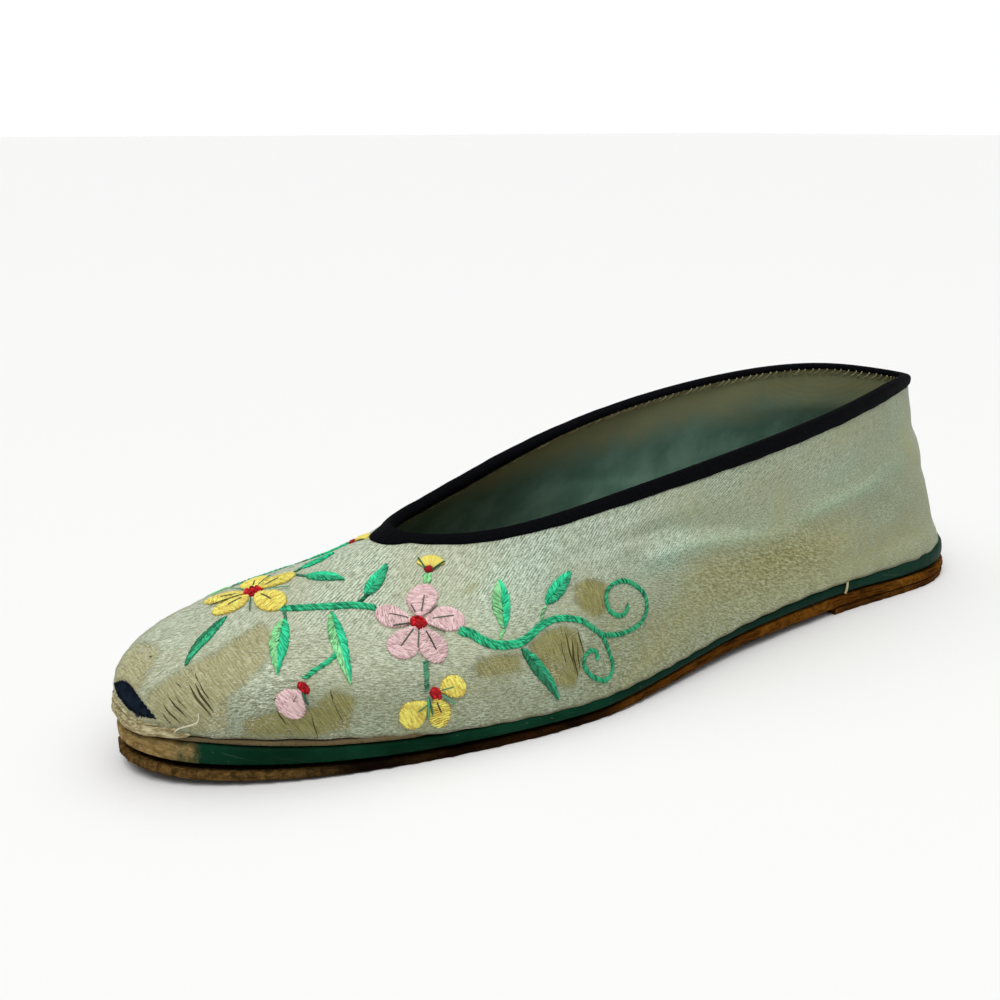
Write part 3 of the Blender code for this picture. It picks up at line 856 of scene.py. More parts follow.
    # Relief
    relief = f.sum(f.times(thread, 0.75), f.times(grain, 0.25))
    relief = f.blend(worn, relief, ground)
    fine = f.bump(relief, 0.00036, 1.0)
    coarse = f.bump(f.noise(at, 0.35, 3.0, 0.55), 0.00045, 0.5, fine)
    coarse = f.bump(f.times(lined, dash), 0.00100, 0.9, coarse)
    edge = f.bump(worn, -0.00012, 0.6, coarse)
    rough = f.sum(f.step(light, 0.0, 1.0, 0.66, 0.52), f.times(worn, 0.18))
    return f.surface(Base_Color=tone, Roughness=rough, Normal=edge, Sheen_Weight=0.10, Sheen_Roughness=0.4,
                     Sheen_Tint=(0.9, 0.95, 0.85), Specular_IOR_Level=0.25)


def add_silk():
    """Silk as a closed skin: the shaped outer face, a turned hem, and a coarser inner face behind it."""
    inner_rows = np.linspace(0, ROWS - 1, SKIN_ROWS).astype(int)
    inner = silk_points - silk_normals * SILK_SKIN
    hem = silk_points[:, :1] - silk_normals[:, :1] * HEM_IN - np.array([0.0, 0.0, HEM_DROP])
    profile = np.concatenate([inner[:, inner_rows[::-1]], hem, silk_points], axis=1)
    around, across = profile.shape[:2]
    faces = ring_faces(around, across, True)
    rows = np.concatenate([inner_rows[::-1], [0], np.arange(ROWS)])
    chart = silk_chart[:, rows]
    marks = {name: value[:, rows] for name, value in silk_marks.items()}
    uv = corner_chart(chart, faces, across)
    return add_piece("silk_upper", profile, [faces], silk_finish(), uv, marks, ("upper",))


def lining_finish():
    """Thin cotton lining: teal, worn to olive gold at the collar behind, with a plain fine weave."""
    f = Finish("teal_lining")
    at = f.pattern()
    below = f.mark("below")
    weave = f.times(f.waves(at, 0.9, 0.4, "X"), f.waves(at, 0.9, 0.4, "Y"))
    cloud = f.noise(at, 0.09, 3.0, 0.6)
    rear = f.step(f.lengthwise(at), 70.0, 120.0)
    gold = f.times(f.step(f.sum(below, f.times(cloud, 10.0)), 21.0, 9.0), rear)
    tone = f.mix(f.step(cloud, 0.35, 0.7), (0.075, 0.170, 0.130), (0.140, 0.260, 0.200))
    tone = f.mix(gold, tone, (0.330, 0.340, 0.180))
    tone = f.mix(f.times(weave, 0.35), tone, (0.16, 0.20, 0.13))
    relief = f.bump(weave, 0.0001, 0.6)
    return f.surface(Base_Color=tone, Roughness=0.8, Normal=relief, Specular_IOR_Level=0.2)


def add_lining():
    """Lining as a closed skin inside the upper's face, pressed in with the silk's troughs, a little slack."""
    grid, chart, _ = raised_face(LINING_SECTIONS, LINING_ROWS, LINING_SHORT)
    normal = face_normal(grid)
    run = arc_from_collar(grid)
    u = chart[:, :, 0]
    v = chart[:, :, 1]
    free = ease(run / COLLAR_HOLD) * ease((run[:, :1] - run) / HEM_HOLD)
    pressed = np.minimum(folds(u, v), 0.0) * free
    slack = LINING_SLACK * np.sin(u * 0.23 + v * 0.15) * ease(run / COLLAR_HOLD)
    back = grid - normal * (LINING_BACK - slack - pressed)[:, :, None]
    face = grid - normal * (LINING_FACE - pressed)[:, :, None]
    profile = np.concatenate([face, back[:, ::-1]], axis=1)
    around, across = profile.shape[:2]
    faces = ring_faces(around, across, True)
    order = np.concatenate([np.arange(LINING_ROWS), np.arange(LINING_ROWS)[::-1]])
    uv = corner_chart(chart[:, order], faces, across)
    return add_piece("lining", profile, [faces], lining_finish(), uv, {"below": run[:, order]})


collar_grid = upper_face(SECTIONS, np.linspace(0.0, 1.0, EDGE_POINTS + 1))
collar_normal = face_normal(collar_grid)
collar_run = arc_from_collar(collar_grid)


def below_collar(distance):
    """Points and normals of the upper at a distance below the collar, one for each section or for all."""
    far = np.broadcast_to(distance, len(collar_grid))
    rows = collar_run.shape[1]
    j = np.arange(len(collar_grid))
    i = np.clip(rows - (collar_run[:, ::-1] < far[:, None] + 1e-9).sum(axis=1), 0, rows - 2)
    share = ((far - collar_run[j, i]) / (collar_run[j, i + 1] - collar_run[j, i]))[:, None]
    point = collar_grid[j, i] * (1.0 - share) + collar_grid[j, i + 1] * share
    normal = collar_normal[j, i] * (1.0 - share) + collar_normal[j, i + 1] * share
    return point, unit(normal)


def tape_finish():
    """Black cotton tape with a close slanting rib and a little lint."""
    f = Finish("black_tape")
    at = f.pattern()
    ribs = f.waves(f.turned(at, (1.0, 1.0, 1.0), 0.6), 0.75, 0.5, "X")
    lint = f.noise(at, 1.4, 4.0, 0.7)
    tone = f.mix(f.step(lint, 0.45, 0.8), (0.0012, 0.0014, 0.0024), (0.0050, 0.0056, 0.0080))
    speck = f.step(f.noise(f.turned(at, (1.0, 2.2, 1.0)), 2.2, 2.0), 0.72, 0.78)
    tone = f.mix(f.times(speck, 0.5), tone, (0.12, 0.12, 0.10))
    return f.surface(Base_Color=tone, Roughness=0.85, Normal=f.bump(f.sum(ribs, lint), 0.00012, 0.8),
                     Specular_IOR_Level=0.05)


def add_binding():
    """Tape folded over the collar edge: an outer leg, a rounded fold and an inner leg, all round the opening.

    The outer leg widens to the heel and runs to a point at the throat; the inner leg narrows to the heel.
    The legs are rows of (share of the leg's width, distance off the upper's face), the fold of (distance
    off, distance over).
    """
    outer_rows = [
        (0.985, -0.05), (1.0, 0.16), (0.97, 0.36), (0.87, 0.50), (0.67, 0.58), (0.46, 0.63), (0.26, 0.65),
        (0.11, 0.62),
    ]
    fold_rows = [
        (0.57, 0.12), (0.40, 0.40), (0.10, 0.62), (-0.35, 0.74), (-0.90, 0.78), (-1.45, 0.68),
        (-1.85, 0.46),
        (-2.10, 0.12),
    ]
    inner_rows = [
        (0.17, -2.22), (0.40, -2.26), (0.67, -2.22), (0.87, -2.08), (0.98, -1.86), (1.0, -1.56),
        (0.55, -1.54),
        (0.12, -1.54),
    ]
    inside_fold = [(-1.40, 0.10), (-0.10, 0.10)]
    under_rows = [(0.08, 0.03), (0.5, 0.03)]
    top, _ = below_collar(0.0)
    mid, _ = below_collar(1.5)
    over = unit(top - mid)
    along = run_round(top)
    place = along[:-1]
    from_throat = np.minimum(place, along[-1] - place)
    ripple = 0.06 * np.sin(place * 0.37) + 0.04 * np.sin(place * 0.83 + 1.1)
    outer_leg = table_at(TAPE_OUTER, top[:, 0]) + 3.2 * ease(1.0 - from_throat / 6.5) + ripple
    inner_leg = table_at(TAPE_INNER, top[:, 0]) + ripple
    rings = []
    legs = (
        (outer_leg, outer_rows), (None, fold_rows), (inner_leg, inner_rows), (None, inside_fold),
        (outer_leg, under_rows),
    )
    for leg, rows in legs:
        for first, second in rows:
            drop, off, up = (0.0, first, second) if leg is None else (leg * first, second, 0.0)
            point, out = below_collar(drop)
            push = off + ripple * (0.6 if abs(off + 0.8) > 1.0 else 0.0)
            rings.append(point + out * push[:, None] + over * up)
    points = np.stack(rings, axis=1)
    around, across = points.shape[:2]
    faces = ring_faces(around, across, True)
    cross = run_along(points[around // 4])
    j = faces[:, :1] // across
    u = np.where(faces // across == j, along[j], along[j + 1])
    first = faces[:, :1] % across
    row = faces % across
    v = np.where(row >= first, cross[row], cross[-1] + 0.3)
    uv = np.stack([u, v], axis=-1)
    finish = tape_finish()
    return add_piece("collar_tape", points, [faces], finish, uv, None, ("collar_binding",))


def tube_faces(count, rings, sides):
    """Quads round each of many tubes, and the two end caps of each."""
    base = (np.arange(count) * rings * sides)[:, None, None]
    r = np.arange(rings - 1)[None, :, None] * sides
    c = np.arange(sides)[None, None, :]
    d = (c + 1) % sides
    corners = [base + r + c, base + r + d, base + r + sides + d, base + r + sides + c]
    quads = np.stack(corners, axis=-1).reshape(-1, 4)
    low = (base[:, :, 0] + np.arange(sides)[None, ::-1]).reshape(-1, sides)
    high = (base[:, :, 0] + (rings - 1) * sides + np.arange(sides)[None, :]).reshape(-1, sides)
    return [quads, low, high]


def tubes(centre, up, radius, sides):
    """Round tubes along many lines at once: rings square to each line, up the side that faces out."""
    along = np.gradient(centre, axis=1)
    along = along / np.maximum(np.linalg.norm(along, axis=2), 1e-9)[:, :, None]
    side = np.cross(along, up)
    side = side / np.maximum(np.linalg.norm(side, axis=2), 1e-9)[:, :, None]
    top = np.cross(side, along)
    angle = np.arange(sides) / sides * 2.0 * np.pi
    ring = side[:, :, None] * np.cos(angle)[:, None] + top[:, :, None] * np.sin(angle)[:, None]
    return centre[:, :, None] + ring * radius[:, :, None, None]


front_order = np.arange(-FRONT, FRONT + 1) % (2 * SECTIONS)
front_points = silk_points[front_order]
front_normals = silk_normals[front_order]
front_chart = silk_chart[front_order]


def read(field, a, k):
    """Value of a field of the front chart between its nodes, straight from the four round it."""
    i = np.clip(np.floor(a).astype(int), 0, field.shape[0] - 2)
    j = np.clip(np.floor(k).astype(int), 0, field.shape[1] - 2)
    right = (a - i)[:, None]
    over = (k - j)[:, None]
    low = field[i, j] * (1.0 - right) + field[i + 1, j] * right
    high = field[i, j + 1] * (1.0 - right) + field[i + 1, j + 1] * right
    return low * (1.0 - over) + high * over


def lay(flat):
    """Find places of the flat pattern on the upper: nearest node of a coarse chart, then Newton steps."""
    flat = np.asarray(flat, float).reshape(-1, 2)
    rough = front_chart[::4, ::4]
    nodes = rough.reshape(-1, 2)
    near = np.concatenate([
        np.argmin(((part[:, None] - nodes[None]) ** 2).sum(-1), axis=1)
        for part in np.array_split(flat, len(flat) // 500 + 1)
    ])
    a = (near // rough.shape[1]) * 4.0
    k = (near % rough.shape[1]) * 4.0
    for _ in range(12):
        miss = flat - read(front_chart, a, k)
        da = read(front_chart, a + 0.5, k) - read(front_chart, a - 0.5, k)
        dk = read(front_chart, a, k + 0.5) - read(front_chart, a, k - 0.5)
        det = da[:, 0] * dk[:, 1] - da[:, 1] * dk[:, 0]
        det = np.where(np.abs(det) < 1e-6, 1e-6, det)
        a = a + np.clip((miss[:, 0] * dk[:, 1] - miss[:, 1] * dk[:, 0]) / det, -6.0, 6.0)
        k = k + np.clip((da[:, 0] * miss[:, 1] - da[:, 1] * miss[:, 0]) / det, -6.0, 6.0)
        a = np.clip(a, 1.0, front_chart.shape[0] - 2.0)
        k = np.clip(k, 0.6, front_chart.shape[1] - 1.6)
    return a, k


def laid_line(flat):
    """Points and normals on the upper of many lines of the flat pattern, an array (lines, points, 2)."""
    lines, count = flat.shape[:2]
    a, k = lay(flat)
    point = read(front_points, a, k).reshape(lines, count, 3)
    normal = read(front_normals, a, k).reshape(lines, count, 3)
    return point, unit(normal)


# Rings of one stitch: fraction of its length, share of its thickness.
STITCH_RUN = np.array([0.0, 0.10, 0.32, 0.55, 0.78, 0.92, 1.0])
STITCH_TAPER = np.array([0.55, 0.95, 1.0, 1.0, 1.0, 0.95, 0.55])


def stitch_tubes(start, end, radius, lift, bed):
    """Raised stitches on the flat pattern: tubes that leave the cloth, arch by lift and go back.

    The arch is a sine raised to 0.6. Stitches of a second layer start from a bed, the height of the first.
    """
    run = STITCH_RUN[None, :, None]
    point, normal = laid_line(start[:, None] * (1.0 - run) + end[:, None] * run)
    thick = radius[:, None]
    arch = lift[:, None] * np.sin(np.pi * STITCH_RUN)[None, :] ** 0.6
    sink = np.where((STITCH_RUN > 0.0) & (STITCH_RUN < 1.0), 0.45, -0.9)[None, :] * thick
    centre = point + normal * (arch + sink + bed[:, None])[:, :, None]
    return tubes(centre, normal, thick * STITCH_TAPER[None, :], 5)


# Middle line of the pattern over the vamp: u, v.
RIDGE = np.array([(-11.0, 1.5), (10.0, 3.6), (29.0, 4.2), (45.0, 4.0), (62.0, 2.6)])
# Motifs that are there once: those above the ridge's edge, the leaf in front of and above a place, and the
# bud at the throat, within a distance of its middle.
RIDGE_EDGE = -8.0
RIDGE_LEAF = (25.0, -14.0)
THROAT_BUD = (62.0, -11.5)
THROAT_BUD_SIZE = 6.0


def mirrored(flat):
    """The same place on the other flank, about the vamp's middle line."""
    flat = np.asarray(flat, float)
    middle = table_at(RIDGE, flat[..., 0])
    return np.stack([flat[..., 0], 2.0 * middle - flat[..., 1]], axis=-1)


def repeats(u, v):
    """Whether a motif is repeated on the inner flank: not the ridge flower, its leaf or the throat's bud."""
    by_leaf = u < RIDGE_LEAF[0] and v > RIDGE_LEAF[1]
    from_bud = np.hypot(u - THROAT_BUD[0], v - THROAT_BUD[1])
    return v < RIDGE_EDGE and not by_leaf and from_bud > THROAT_BUD_SIZE


# Seeded draws for all the stitches, then the distances between them, the slant of a petal's stitches and the
# radius of the floss.
random = np.random.default_rng(5)
PITCH = 0.30
PETAL_PITCH = 0.34
STEM_PITCH = 0.38
PETAL_SLANT = 0.14
THREAD = 0.20

# Leaves: base u, v, tip u, v, half widths left and right of the line, widest place, fullness, lag of the
# stitches behind the edge, colours left and right.
LEAVES = [
    (21.41, -2.44, 8.41, -9.97, 1.05, 1.15, 0.45, 0.95, 0.42, "leaf", "dark"),
    (30.54, -11.02, 21.32, -20.9, 1.7, 1.7, 0.42, 0.95, 0.42, "bright", "pale"),
    (39.51, -13.29, 32.31, -27.86, 1.5, 1.45, 0.45, 0.95, 0.42, "bright", "pale"),
    (47.8, -12.04, 56.16, -6.43, 1.2, 1.4, 0.4, 0.9, 0.4, "bright", "leaf"),
    (41.35, 5.63, 49.53, 5.99, 1.5, 1.4, 0.42, 0.95, 0.4, "leaf", "bright"),
    (40.18, 0.04, 46.64, -6.9, 1.4, 1.5, 0.42, 0.95, 0.4, "bright", "leaf"),
    (67.35, -32.51, 72.96, -22.34, 2.0, 1.7, 0.5, 0.8, 0.36, "pale", "bright"),
    (78.84, -32.19, 87.73, -28.9, 1.6, 1.75, 0.45, 0.75, 0.36, "bright", "leaf"),
    (68.92, -37.63, 73.04, -50.73, 1.4, 1.4, 0.42, 0.95, 0.42, "leaf", "dark"),
]
# Flowers: heart, tips of the petals, half width of a petal, shares of it left and right.
PINK_HEART = (52.77, -22.88)
PINK_TIPS = [(59.30, -15.25), (46.77, -16.8), (61.50, -26.00), (51.62, -32.03), (43.85, -27.36)]
PINK_HALF = 2.9
PINK_SIDES = [(1.0, 1.05), (0.95, 1.0), (1.05, 0.95), (0.95, 1.0), (1.0, 1.0)]
YELLOW_HEART = (29.57, 3.71)
YELLOW_TIPS = [(31.75, -7.79), (20.13, 0.14), (21.28, 10.09), (33.72, 12.98), (39.16, 4.8)]
YELLOW_HALF = 3.0
YELLOW_SIDES = [(1.0, 1.1), (1.0, 0.95), (0.9, 1.0), (1.0, 1.0), (1.0, 1.0)]
# Single petals of buds: base u, v, tip u, v, half widths, widest place, colour.
BUD_PETALS = [
    (47.74, -36.45, 53.41, -37.69, 2.1, 2.1, 0.60, "yellow"),
    (46.13, -37.2, 44.44, -41.5, 2.7, 2.5, 0.60, "yellow"),
    (43.99, -37.09, 36.75, -37.35, 2.1, 2.0, 0.58, "yellow"),
    (23.07, -24.7, 16.95, -25.71, 2.2, 2.2, 0.58, "pink"),
]
# Buds that open like a fan: heart, spread in radians, reach, direction, colour.
FAN_BUDS = [((62.25, -12.7), 1.9, 4.1, 0.92, "yellow"), ((55.5, 9.3), 1.5, 4.4, -0.35, "yellow")]
# Stems: colour, width at the two ends, then places on the flat pattern.
STEMS = [
    ("stem", 1.7, 1.5, [
        (31.15, -7.67), (34.77, -9.8), (38.33, -11.42), (41.87, -12.7), (44.61, -13.59), (47.7, -15.7),
    ]),
    ("stem", 0.75, 0.65, [
        (35.03, -21.78), (32.11, -22.77), (29.28, -23.11), (25.16, -23.66),
    ]),
    ("dull", 1.0, 0.9, [
        (48.89, -30.39), (47.12, -32.8), (45.18, -35.46),
    ]),
    ("pale", 1.7, 1.5, [
        (61.49, -13.05), (60.86, -14.1), (60.17, -15.27),
    ]),
    ("dark", 0.6, 0.6, [
        (45.32, -13.35), (47.13, -12.59), (48.82, -11.69),
    ]),
    ("dull", 0.5, 0.5, [
        (31.61, -8.77), (31.08, -10.28), (30.3, -11.75),
    ]),
    ("dull", 0.45, 0.45, [
        (38.96, 4.03), (39.3, 2.04), (40.34, -0.09),
    ]),
    ("dull", 0.45, 0.45, [
        (38.98, 4.78), (40.05, 5.18), (41.6, 5.63),
    ]),
    ("pale", 0.7, 0.6, [
        (67.39, -32.43), (66.46, -32.95), (65.49, -33.88),
    ]),
    ("pale", 0.6, 0.6, [
        (78.43, -32.5), (77.35, -33.44), (75.88, -34.95),
    ]),
    ("stem", 2.1, 1.1, [
        (58.61, -28.02), (60.67, -29.96), (61.71, -32.07), (64.28, -34.62), (66.8, -35.77),
        (69.51, -36.48), (72.5, -36.19), (75.62, -35.67), (78.33, -35.87), (80.88, -36.77),
        (83.42, -38.41), (85.35, -39.84),
    ]),
    ("tendril", 0.95, 0.85, [
        (84.55, -39.16), (86.5, -41.7), (88.2, -43.9), (89.94, -45.31), (92.1, -46.4), (94.37, -47.25),
        (97.0, -47.9), (99.68, -48.16), (101.6, -48.0), (103.15, -47.3), (104.2, -46.1), (104.6, -44.6),
        (104.19, -42.56), (103.5, -41.3), (102.62, -40.18), (101.6, -39.1), (100.48, -38.12),
        (99.3, -37.4), (98.08, -36.83), (96.9, -36.6), (95.68, -36.53), (94.6, -36.8), (93.71, -37.3),
        (93.1, -38.2), (92.82, -39.31), (92.8, -40.4), (93.14, -41.42), (94.0, -42.6), (95.22, -43.49),
        (96.4, -43.9), (97.39, -43.8), (98.29, -43.1), (98.5, -42.2),
    ]),
    ("tendril", 0.9, 0.8, [
        (85.13, -39.58), (86.4, -41.3), (87.9, -43.4), (89.2, -45.6), (89.7, -47.4), (89.94, -49.3),
        (90.2, -50.9), (90.1, -52.3), (89.6, -53.3), (88.65, -53.8), (87.6, -53.95), (86.4, -53.6),
        (84.6, -52.4), (83.02, -50.89), (82.2, -49.2), (82.05, -47.7), (82.5, -46.7), (83.34, -46.24),
        (84.4, -46.1), (85.37, -46.5), (86.1, -47.3), (86.2, -48.3), (85.9, -49.0),
    ]),
]
# Single threads laid over the petals and between them: colour, from u, v to u, v, thread radius.
VEINS = [
    ("vein", 57.95, -17.59, 54.67, -21.25, 0.17), ("vein", 60.14, -24.95, 55.59, -23.45, 0.17),
    ("vein", 48.68, -18.13, 51.71, -21.25, 0.12), ("vein", 45.72, -26.16, 51.07, -23.77, 0.17),
    ("vein", 51.94, -29.92, 52.78, -25.06, 0.17), ("vein", 54.06, -18.4, 53.61, -20.75, 0.13),
    ("vein", 58.6, -21.2, 55.64, -22.21, 0.15), ("vein", 56.0, -27.3, 54.04, -24.54, 0.16),
    ("vein", 48.9, -27.8, 51.55, -24.61, 0.18), ("vein", 47.6, -21.3, 51.0, -22.41, 0.17),
    ("vein", 30.01, 0.48, 30.94, -4.01, 0.16), ("vein", 26.95, 2.6, 23.13, 1.38, 0.16),
    ("vein", 26.95, 5.66, 23.82, 7.96, 0.15), ("vein", 32.1, 3.92, 35.97, 4.47, 0.16),
    ("vein", 30.76, 6.51, 32.48, 9.8, 0.15), ("dull", 31.53, 1.89, 35.91, -2.06, 0.12),
    ("dull", 28.1, 0.9, 25.78, -4.58, 0.16), ("dull", 31.48, 5.71, 36.08, 9.68, 0.12),
    ("dull", 27.54, 4.35, 20.93, 5.24, 0.12), ("dull", 28.73, 6.49, 27.66, 11.56, 0.12),
    ("dull", 47.75, -36.44, 51.0, -37.2, 0.13), ("dull", 47.37, -36.99, 49.35, -39.9, 0.20),
    ("vein", 45.77, -37.71, 45.56, -39.67, 0.15), ("dull", 41.0, -37.34, 43.86, -37.26, 0.16),
    ("dull", 44.6, -36.25, 42.47, -39.16, 0.24), ("dull", 44.71, -36.28, 43.63, -39.16, 0.22),
    ("dark", 61.98, -8.42, 61.75, -12.0, 0.2), ("dark", 65.98, -12.62, 62.57, -13.07, 0.2),
    ("dull", 23.11, -24.94, 22.46, -26.75, 0.24), ("vein", 21.97, -24.76, 20.2, -25.2, 0.08),
]
# Red hearts: u, v, half sizes.
HEARTS = [
    (52.77, -22.88, 1.65, 1.65), (29.57, 3.71, 2.1, 2.2), (62.34, -12.33, 0.85, 0.85),
    (46.61, -36.5, 1.2, 1.2), (23.93, -24.56, 1.0, 1.0), (55.59, 9.25, 0.8, 0.8),
]

# Stitches of each colour: start, end, thread radius, arch, shade, bed.
stitches = {}


def keep(tone, start, end, thick, lift, shade=None, bed=0.0):
    """Keep stitches of one colour, and their mirror image where the motif is repeated on the inner flank."""
    start = np.asarray(start, float).reshape(-1, 2)
    end = np.asarray(end, float).reshape(-1, 2)
    if shade is None:
        shade = random.uniform(0.0, 1.0, len(start))
    rest = [np.broadcast_to(value, len(start)) for value in (thick, lift, shade, bed)]
    rows = stitches.setdefault(tone, [])
    rows.append((start, end, *rest))
    if repeats(*((start + end) / 2.0).mean(axis=0)):
        rows.append((mirrored(start), mirrored(end), *rest))


def short_rows(tone, start, end, pitch, ahead, thin):
    """A second layer of short stitches over long ones: each long one cut into lengths, set like bricks.

    The cuts of one row fall near the middles of the next; the bed falls off in the outer half millimetre.
    """
    run = np.linalg.norm(end - start, axis=1)
    cells = np.arange(int(run.max() / pitch) + 2)
    odd = 0.5 * (np.arange(len(run)) % 2)
    low = (cells[None, :] - odd[:, None]) * pitch + random.uniform(-0.18, 0.18, (len(run), len(cells)))
    high = low + pitch * random.uniform(1.0, 1.35, low.shape)
    low = np.clip(low, 0.0, run[:, None])
    high = np.clip(high, 0.0, run[:, None])
    row, cell = np.nonzero(high - low > 0.35)
    a, b = low[row, cell], high[row, cell]
    way = (end - start)[row] / run[row][:, None]
    tilt = ahead * random.uniform(-0.10, 0.10, len(row))[:, None]
    rim = np.minimum(0.5 * (a + b), run[row] - 0.5 * (a + b))
    shade = random.uniform(0.15, 1.0, len(row))
    thick = THREAD * thin * random.uniform(0.80, 1.10, len(row))
    bed = 0.25 * np.clip(rim / 0.6, 0.3, 1.0)
    first = start[row] + way * a[:, None] - tilt
    last = start[row] + way * b[:, None] + tilt
    keep(tone, first, last, thick, 0.05, shade, bed)


def blade_axis(bu, bv, tu, tv, pitch):
    """Base and length of a leaf or petal, unit vectors along and across it, and where its stitches lie."""
    base = np.array([bu, bv])
    axis = np.array([tu, tv]) - base
    size = np.hypot(*axis)
    ahead = axis / size
    count = int(size / pitch) + 1
    return base, size, ahead, square_to(ahead), (np.arange(count) + 0.6) / (count + 0.2)


def sew_blade(bu, bv, tu, tv, left, right, widest, full, lag, left_tone, right_tone):
    """Satin stitch over a leaf: each stitch runs from the middle line to the edge, a little ahead.

    The half width follows a sine raised to the fullness, stretched so that it peaks at the widest place. A
    second layer of short stitches lies over the first.
    """
    base, size, ahead, aside, t = blade_axis(bu, bv, tu, tv, PITCH)
    wide = np.sin(np.pi * t ** (np.log(0.5) / np.log(widest))) ** full
    for sign, half, tone in ((1.0, left, left_tone), (-1.0, right, right_tone)):
        jag = random.uniform(-0.10, 0.14, len(t))
        lagging = lag * random.uniform(0.55, 0.85, len(t))
        start = base + ahead * (size * t * (1.0 - lagging))[:, None] + aside * sign * 0.05
        end = base + ahead * (size * t)[:, None] + aside * (sign * (half * wide + jag))[:, None]
        keep(tone, start, end, THREAD * 0.9, 0.06, 0.25 + random.uniform(-0.2, 0.2, len(t)))
        short_rows(tone, start, end, 1.15, ahead, 0.92)


def sew_petal(bu, bv, tu, tv, left, right, widest, tone):
    """Satin stitch over a petal: stitches across its axis from edge to edge, the outline an egg's.

    The half width rises as a quarter sine to the widest place and falls as a quarter ellipse to the tip. A
    second layer of short stitches lies over the first, and a fine thread of the same floss, darker as painted
    shade at the petal's edge, rims it.
    """
    base, size, ahead, aside, t = blade_axis(bu, bv, tu, tv, PETAL_PITCH)
    near = np.sin(np.pi / 2.0 * np.clip(t / widest, 0.0, 1.0)) ** 0.8
    far = np.sqrt(np.clip(1.0 - ((t - widest) / (1.0 - widest)) ** 2, 0.0, 1.0))
    wide = np.where(t < widest, near, far)
    jag = random.uniform(-0.05, 0.08, (2, len(t)))
    fore = base + ahead * (size * t - PETAL_SLANT * left * wide)[:, None]
    rear = base + ahead * (size * t + PETAL_SLANT * right * wide)[:, None]
    start = fore + aside * (left * wide + jag[0])[:, None]
    end = rear - aside * (right * wide + jag[1])[:, None]
    keep(tone, start, end, THREAD * 0.95, 0.06, 0.30 + random.uniform(-0.25, 0.25, len(t)))
    short_rows(tone, start, end, 1.25, ahead, 0.95)
    rim = np.vstack([start, (base + ahead * (size + 0.12))[None], end[::-1]])
    # Rim: the same floss in a darker tone, painted shade along the petal's edge.
    keep("rim_" + tone, rim[:-1], rim[1:], 0.13, 0.02, None, 0.05)


def fine_line(places, count):
    """A line of the flat pattern drawn smoothly through its places, and the length along it."""
    places = np.asarray(places, float)
    run = run_along(places)
    fine = np.linspace(0.0, run[-1], count)
    return np.stack([spline(fine, run, places[:, k]) for k in range(2)], axis=-1), fine


def sew_stem(tone, wide_a, wide_b, places):
    """Stem stitch along a line: short slanting stitches that lap like a rope, in rows side by side."""
    line, fine = fine_line(places, 200)
    size = fine[-1]
    slope = np.stack([np.gradient(line[:, k], fine) for k in range(2)], axis=-1)
    count = max(int(size / STEM_PITCH), 3)
    rows = max(1, int(round(max(wide_a, wide_b) / 0.75)))
    for row in range(rows):
        s = (np.arange(count) + 0.5 + 0.5 * (row % 2)) / (count + 0.5) * size
        wide = wide_a + (wide_b - wide_a) * s / size
        reach = 0.34 + 0.10 * wide
        back = at_run(line, fine, s - reach)
        fore = at_run(line, fine, s + reach)
        aside = square_to(unit(at_run(slope, fine, s)))
        middle = ((row + 0.5) / rows - 0.5) * wide + random.uniform(-0.08, 0.08, count)
        half = wide / rows * 0.46 + random.uniform(-0.05, 0.08, count)
        thick = np.minimum(THREAD * random.uniform(0.80, 1.15, count), 0.11 + wide / rows * 0.12)
        start = back + aside * (middle + half)[:, None]
        end = fore + aside * (middle - half)[:, None]
        keep(tone, start, end, thick, 0.12 + random.uniform(0.0, 0.14, count))


def sew_heart(u, v, long, wide):
    """A round of knots: a flat layer of stitches side by side, and small raised knots over it in a ring."""
    count = int(2.0 * long / 0.34) + 1
    d = np.linspace(-0.85, 0.85, count)
    chord = np.sqrt(1.0 - d ** 2)
    size = np.array([long, wide])
    ahead = ray_at(0.5)
    aside = square_to(ahead)
    middle = np.array([u, v])
    start = middle + size * (aside * d[:, None] - ahead * chord[:, None])
    end = middle + size * (aside * d[:, None] + ahead * chord[:, None])
    keep("red", start, end, 0.26, 0.22 * chord + 0.1, 0.3)
    ring = 7 if long > 1.4 else 4
    angle = np.arange(ring) / ring * 2.0 * np.pi + 0.4
    knots = np.vstack([middle[None], middle + size * 0.62 * ray_at(angle)])
    reach = ray_at(random.uniform(0.0, np.pi, len(knots))) * 0.27 * long ** 0.5
    keep("red", knots - reach, knots + reach, 0.26 * long ** 0.5, 0.42 * long ** 0.5)


def sew_fan(heart, spread, reach, turn, tone):
    """A bud that opens like a fan: stitches from the heart out to a rounded edge."""
    count = int(reach * spread / (PITCH * 0.8)) + 1
    ray = ray_at(turn + np.linspace(-0.5, 0.5, count) * spread)
    bulge = reach * (0.86 + 0.14 * np.cos(np.linspace(-1.5, 1.5, count)))
    bulge = bulge + random.uniform(-0.15, 0.15, count)
    shade = 0.5 + random.uniform(-0.2, 0.2, count)
    heart = np.array(heart)
    keep(tone, heart + ray * 0.7, heart + ray * bulge[:, None], THREAD * 1.05, 0.34, shade)


def sew_flower(heart, tips, half, tone, vary):
    """Five petals from near the heart to their tips."""
    heart = np.array(heart)
    for tip, (left, right) in zip(tips, vary):
        off = np.array(tip) - heart
        base = heart + off / np.hypot(*off) * 1.3
        sew_petal(*base, *tip, half * left, half * right, 0.60, tone)


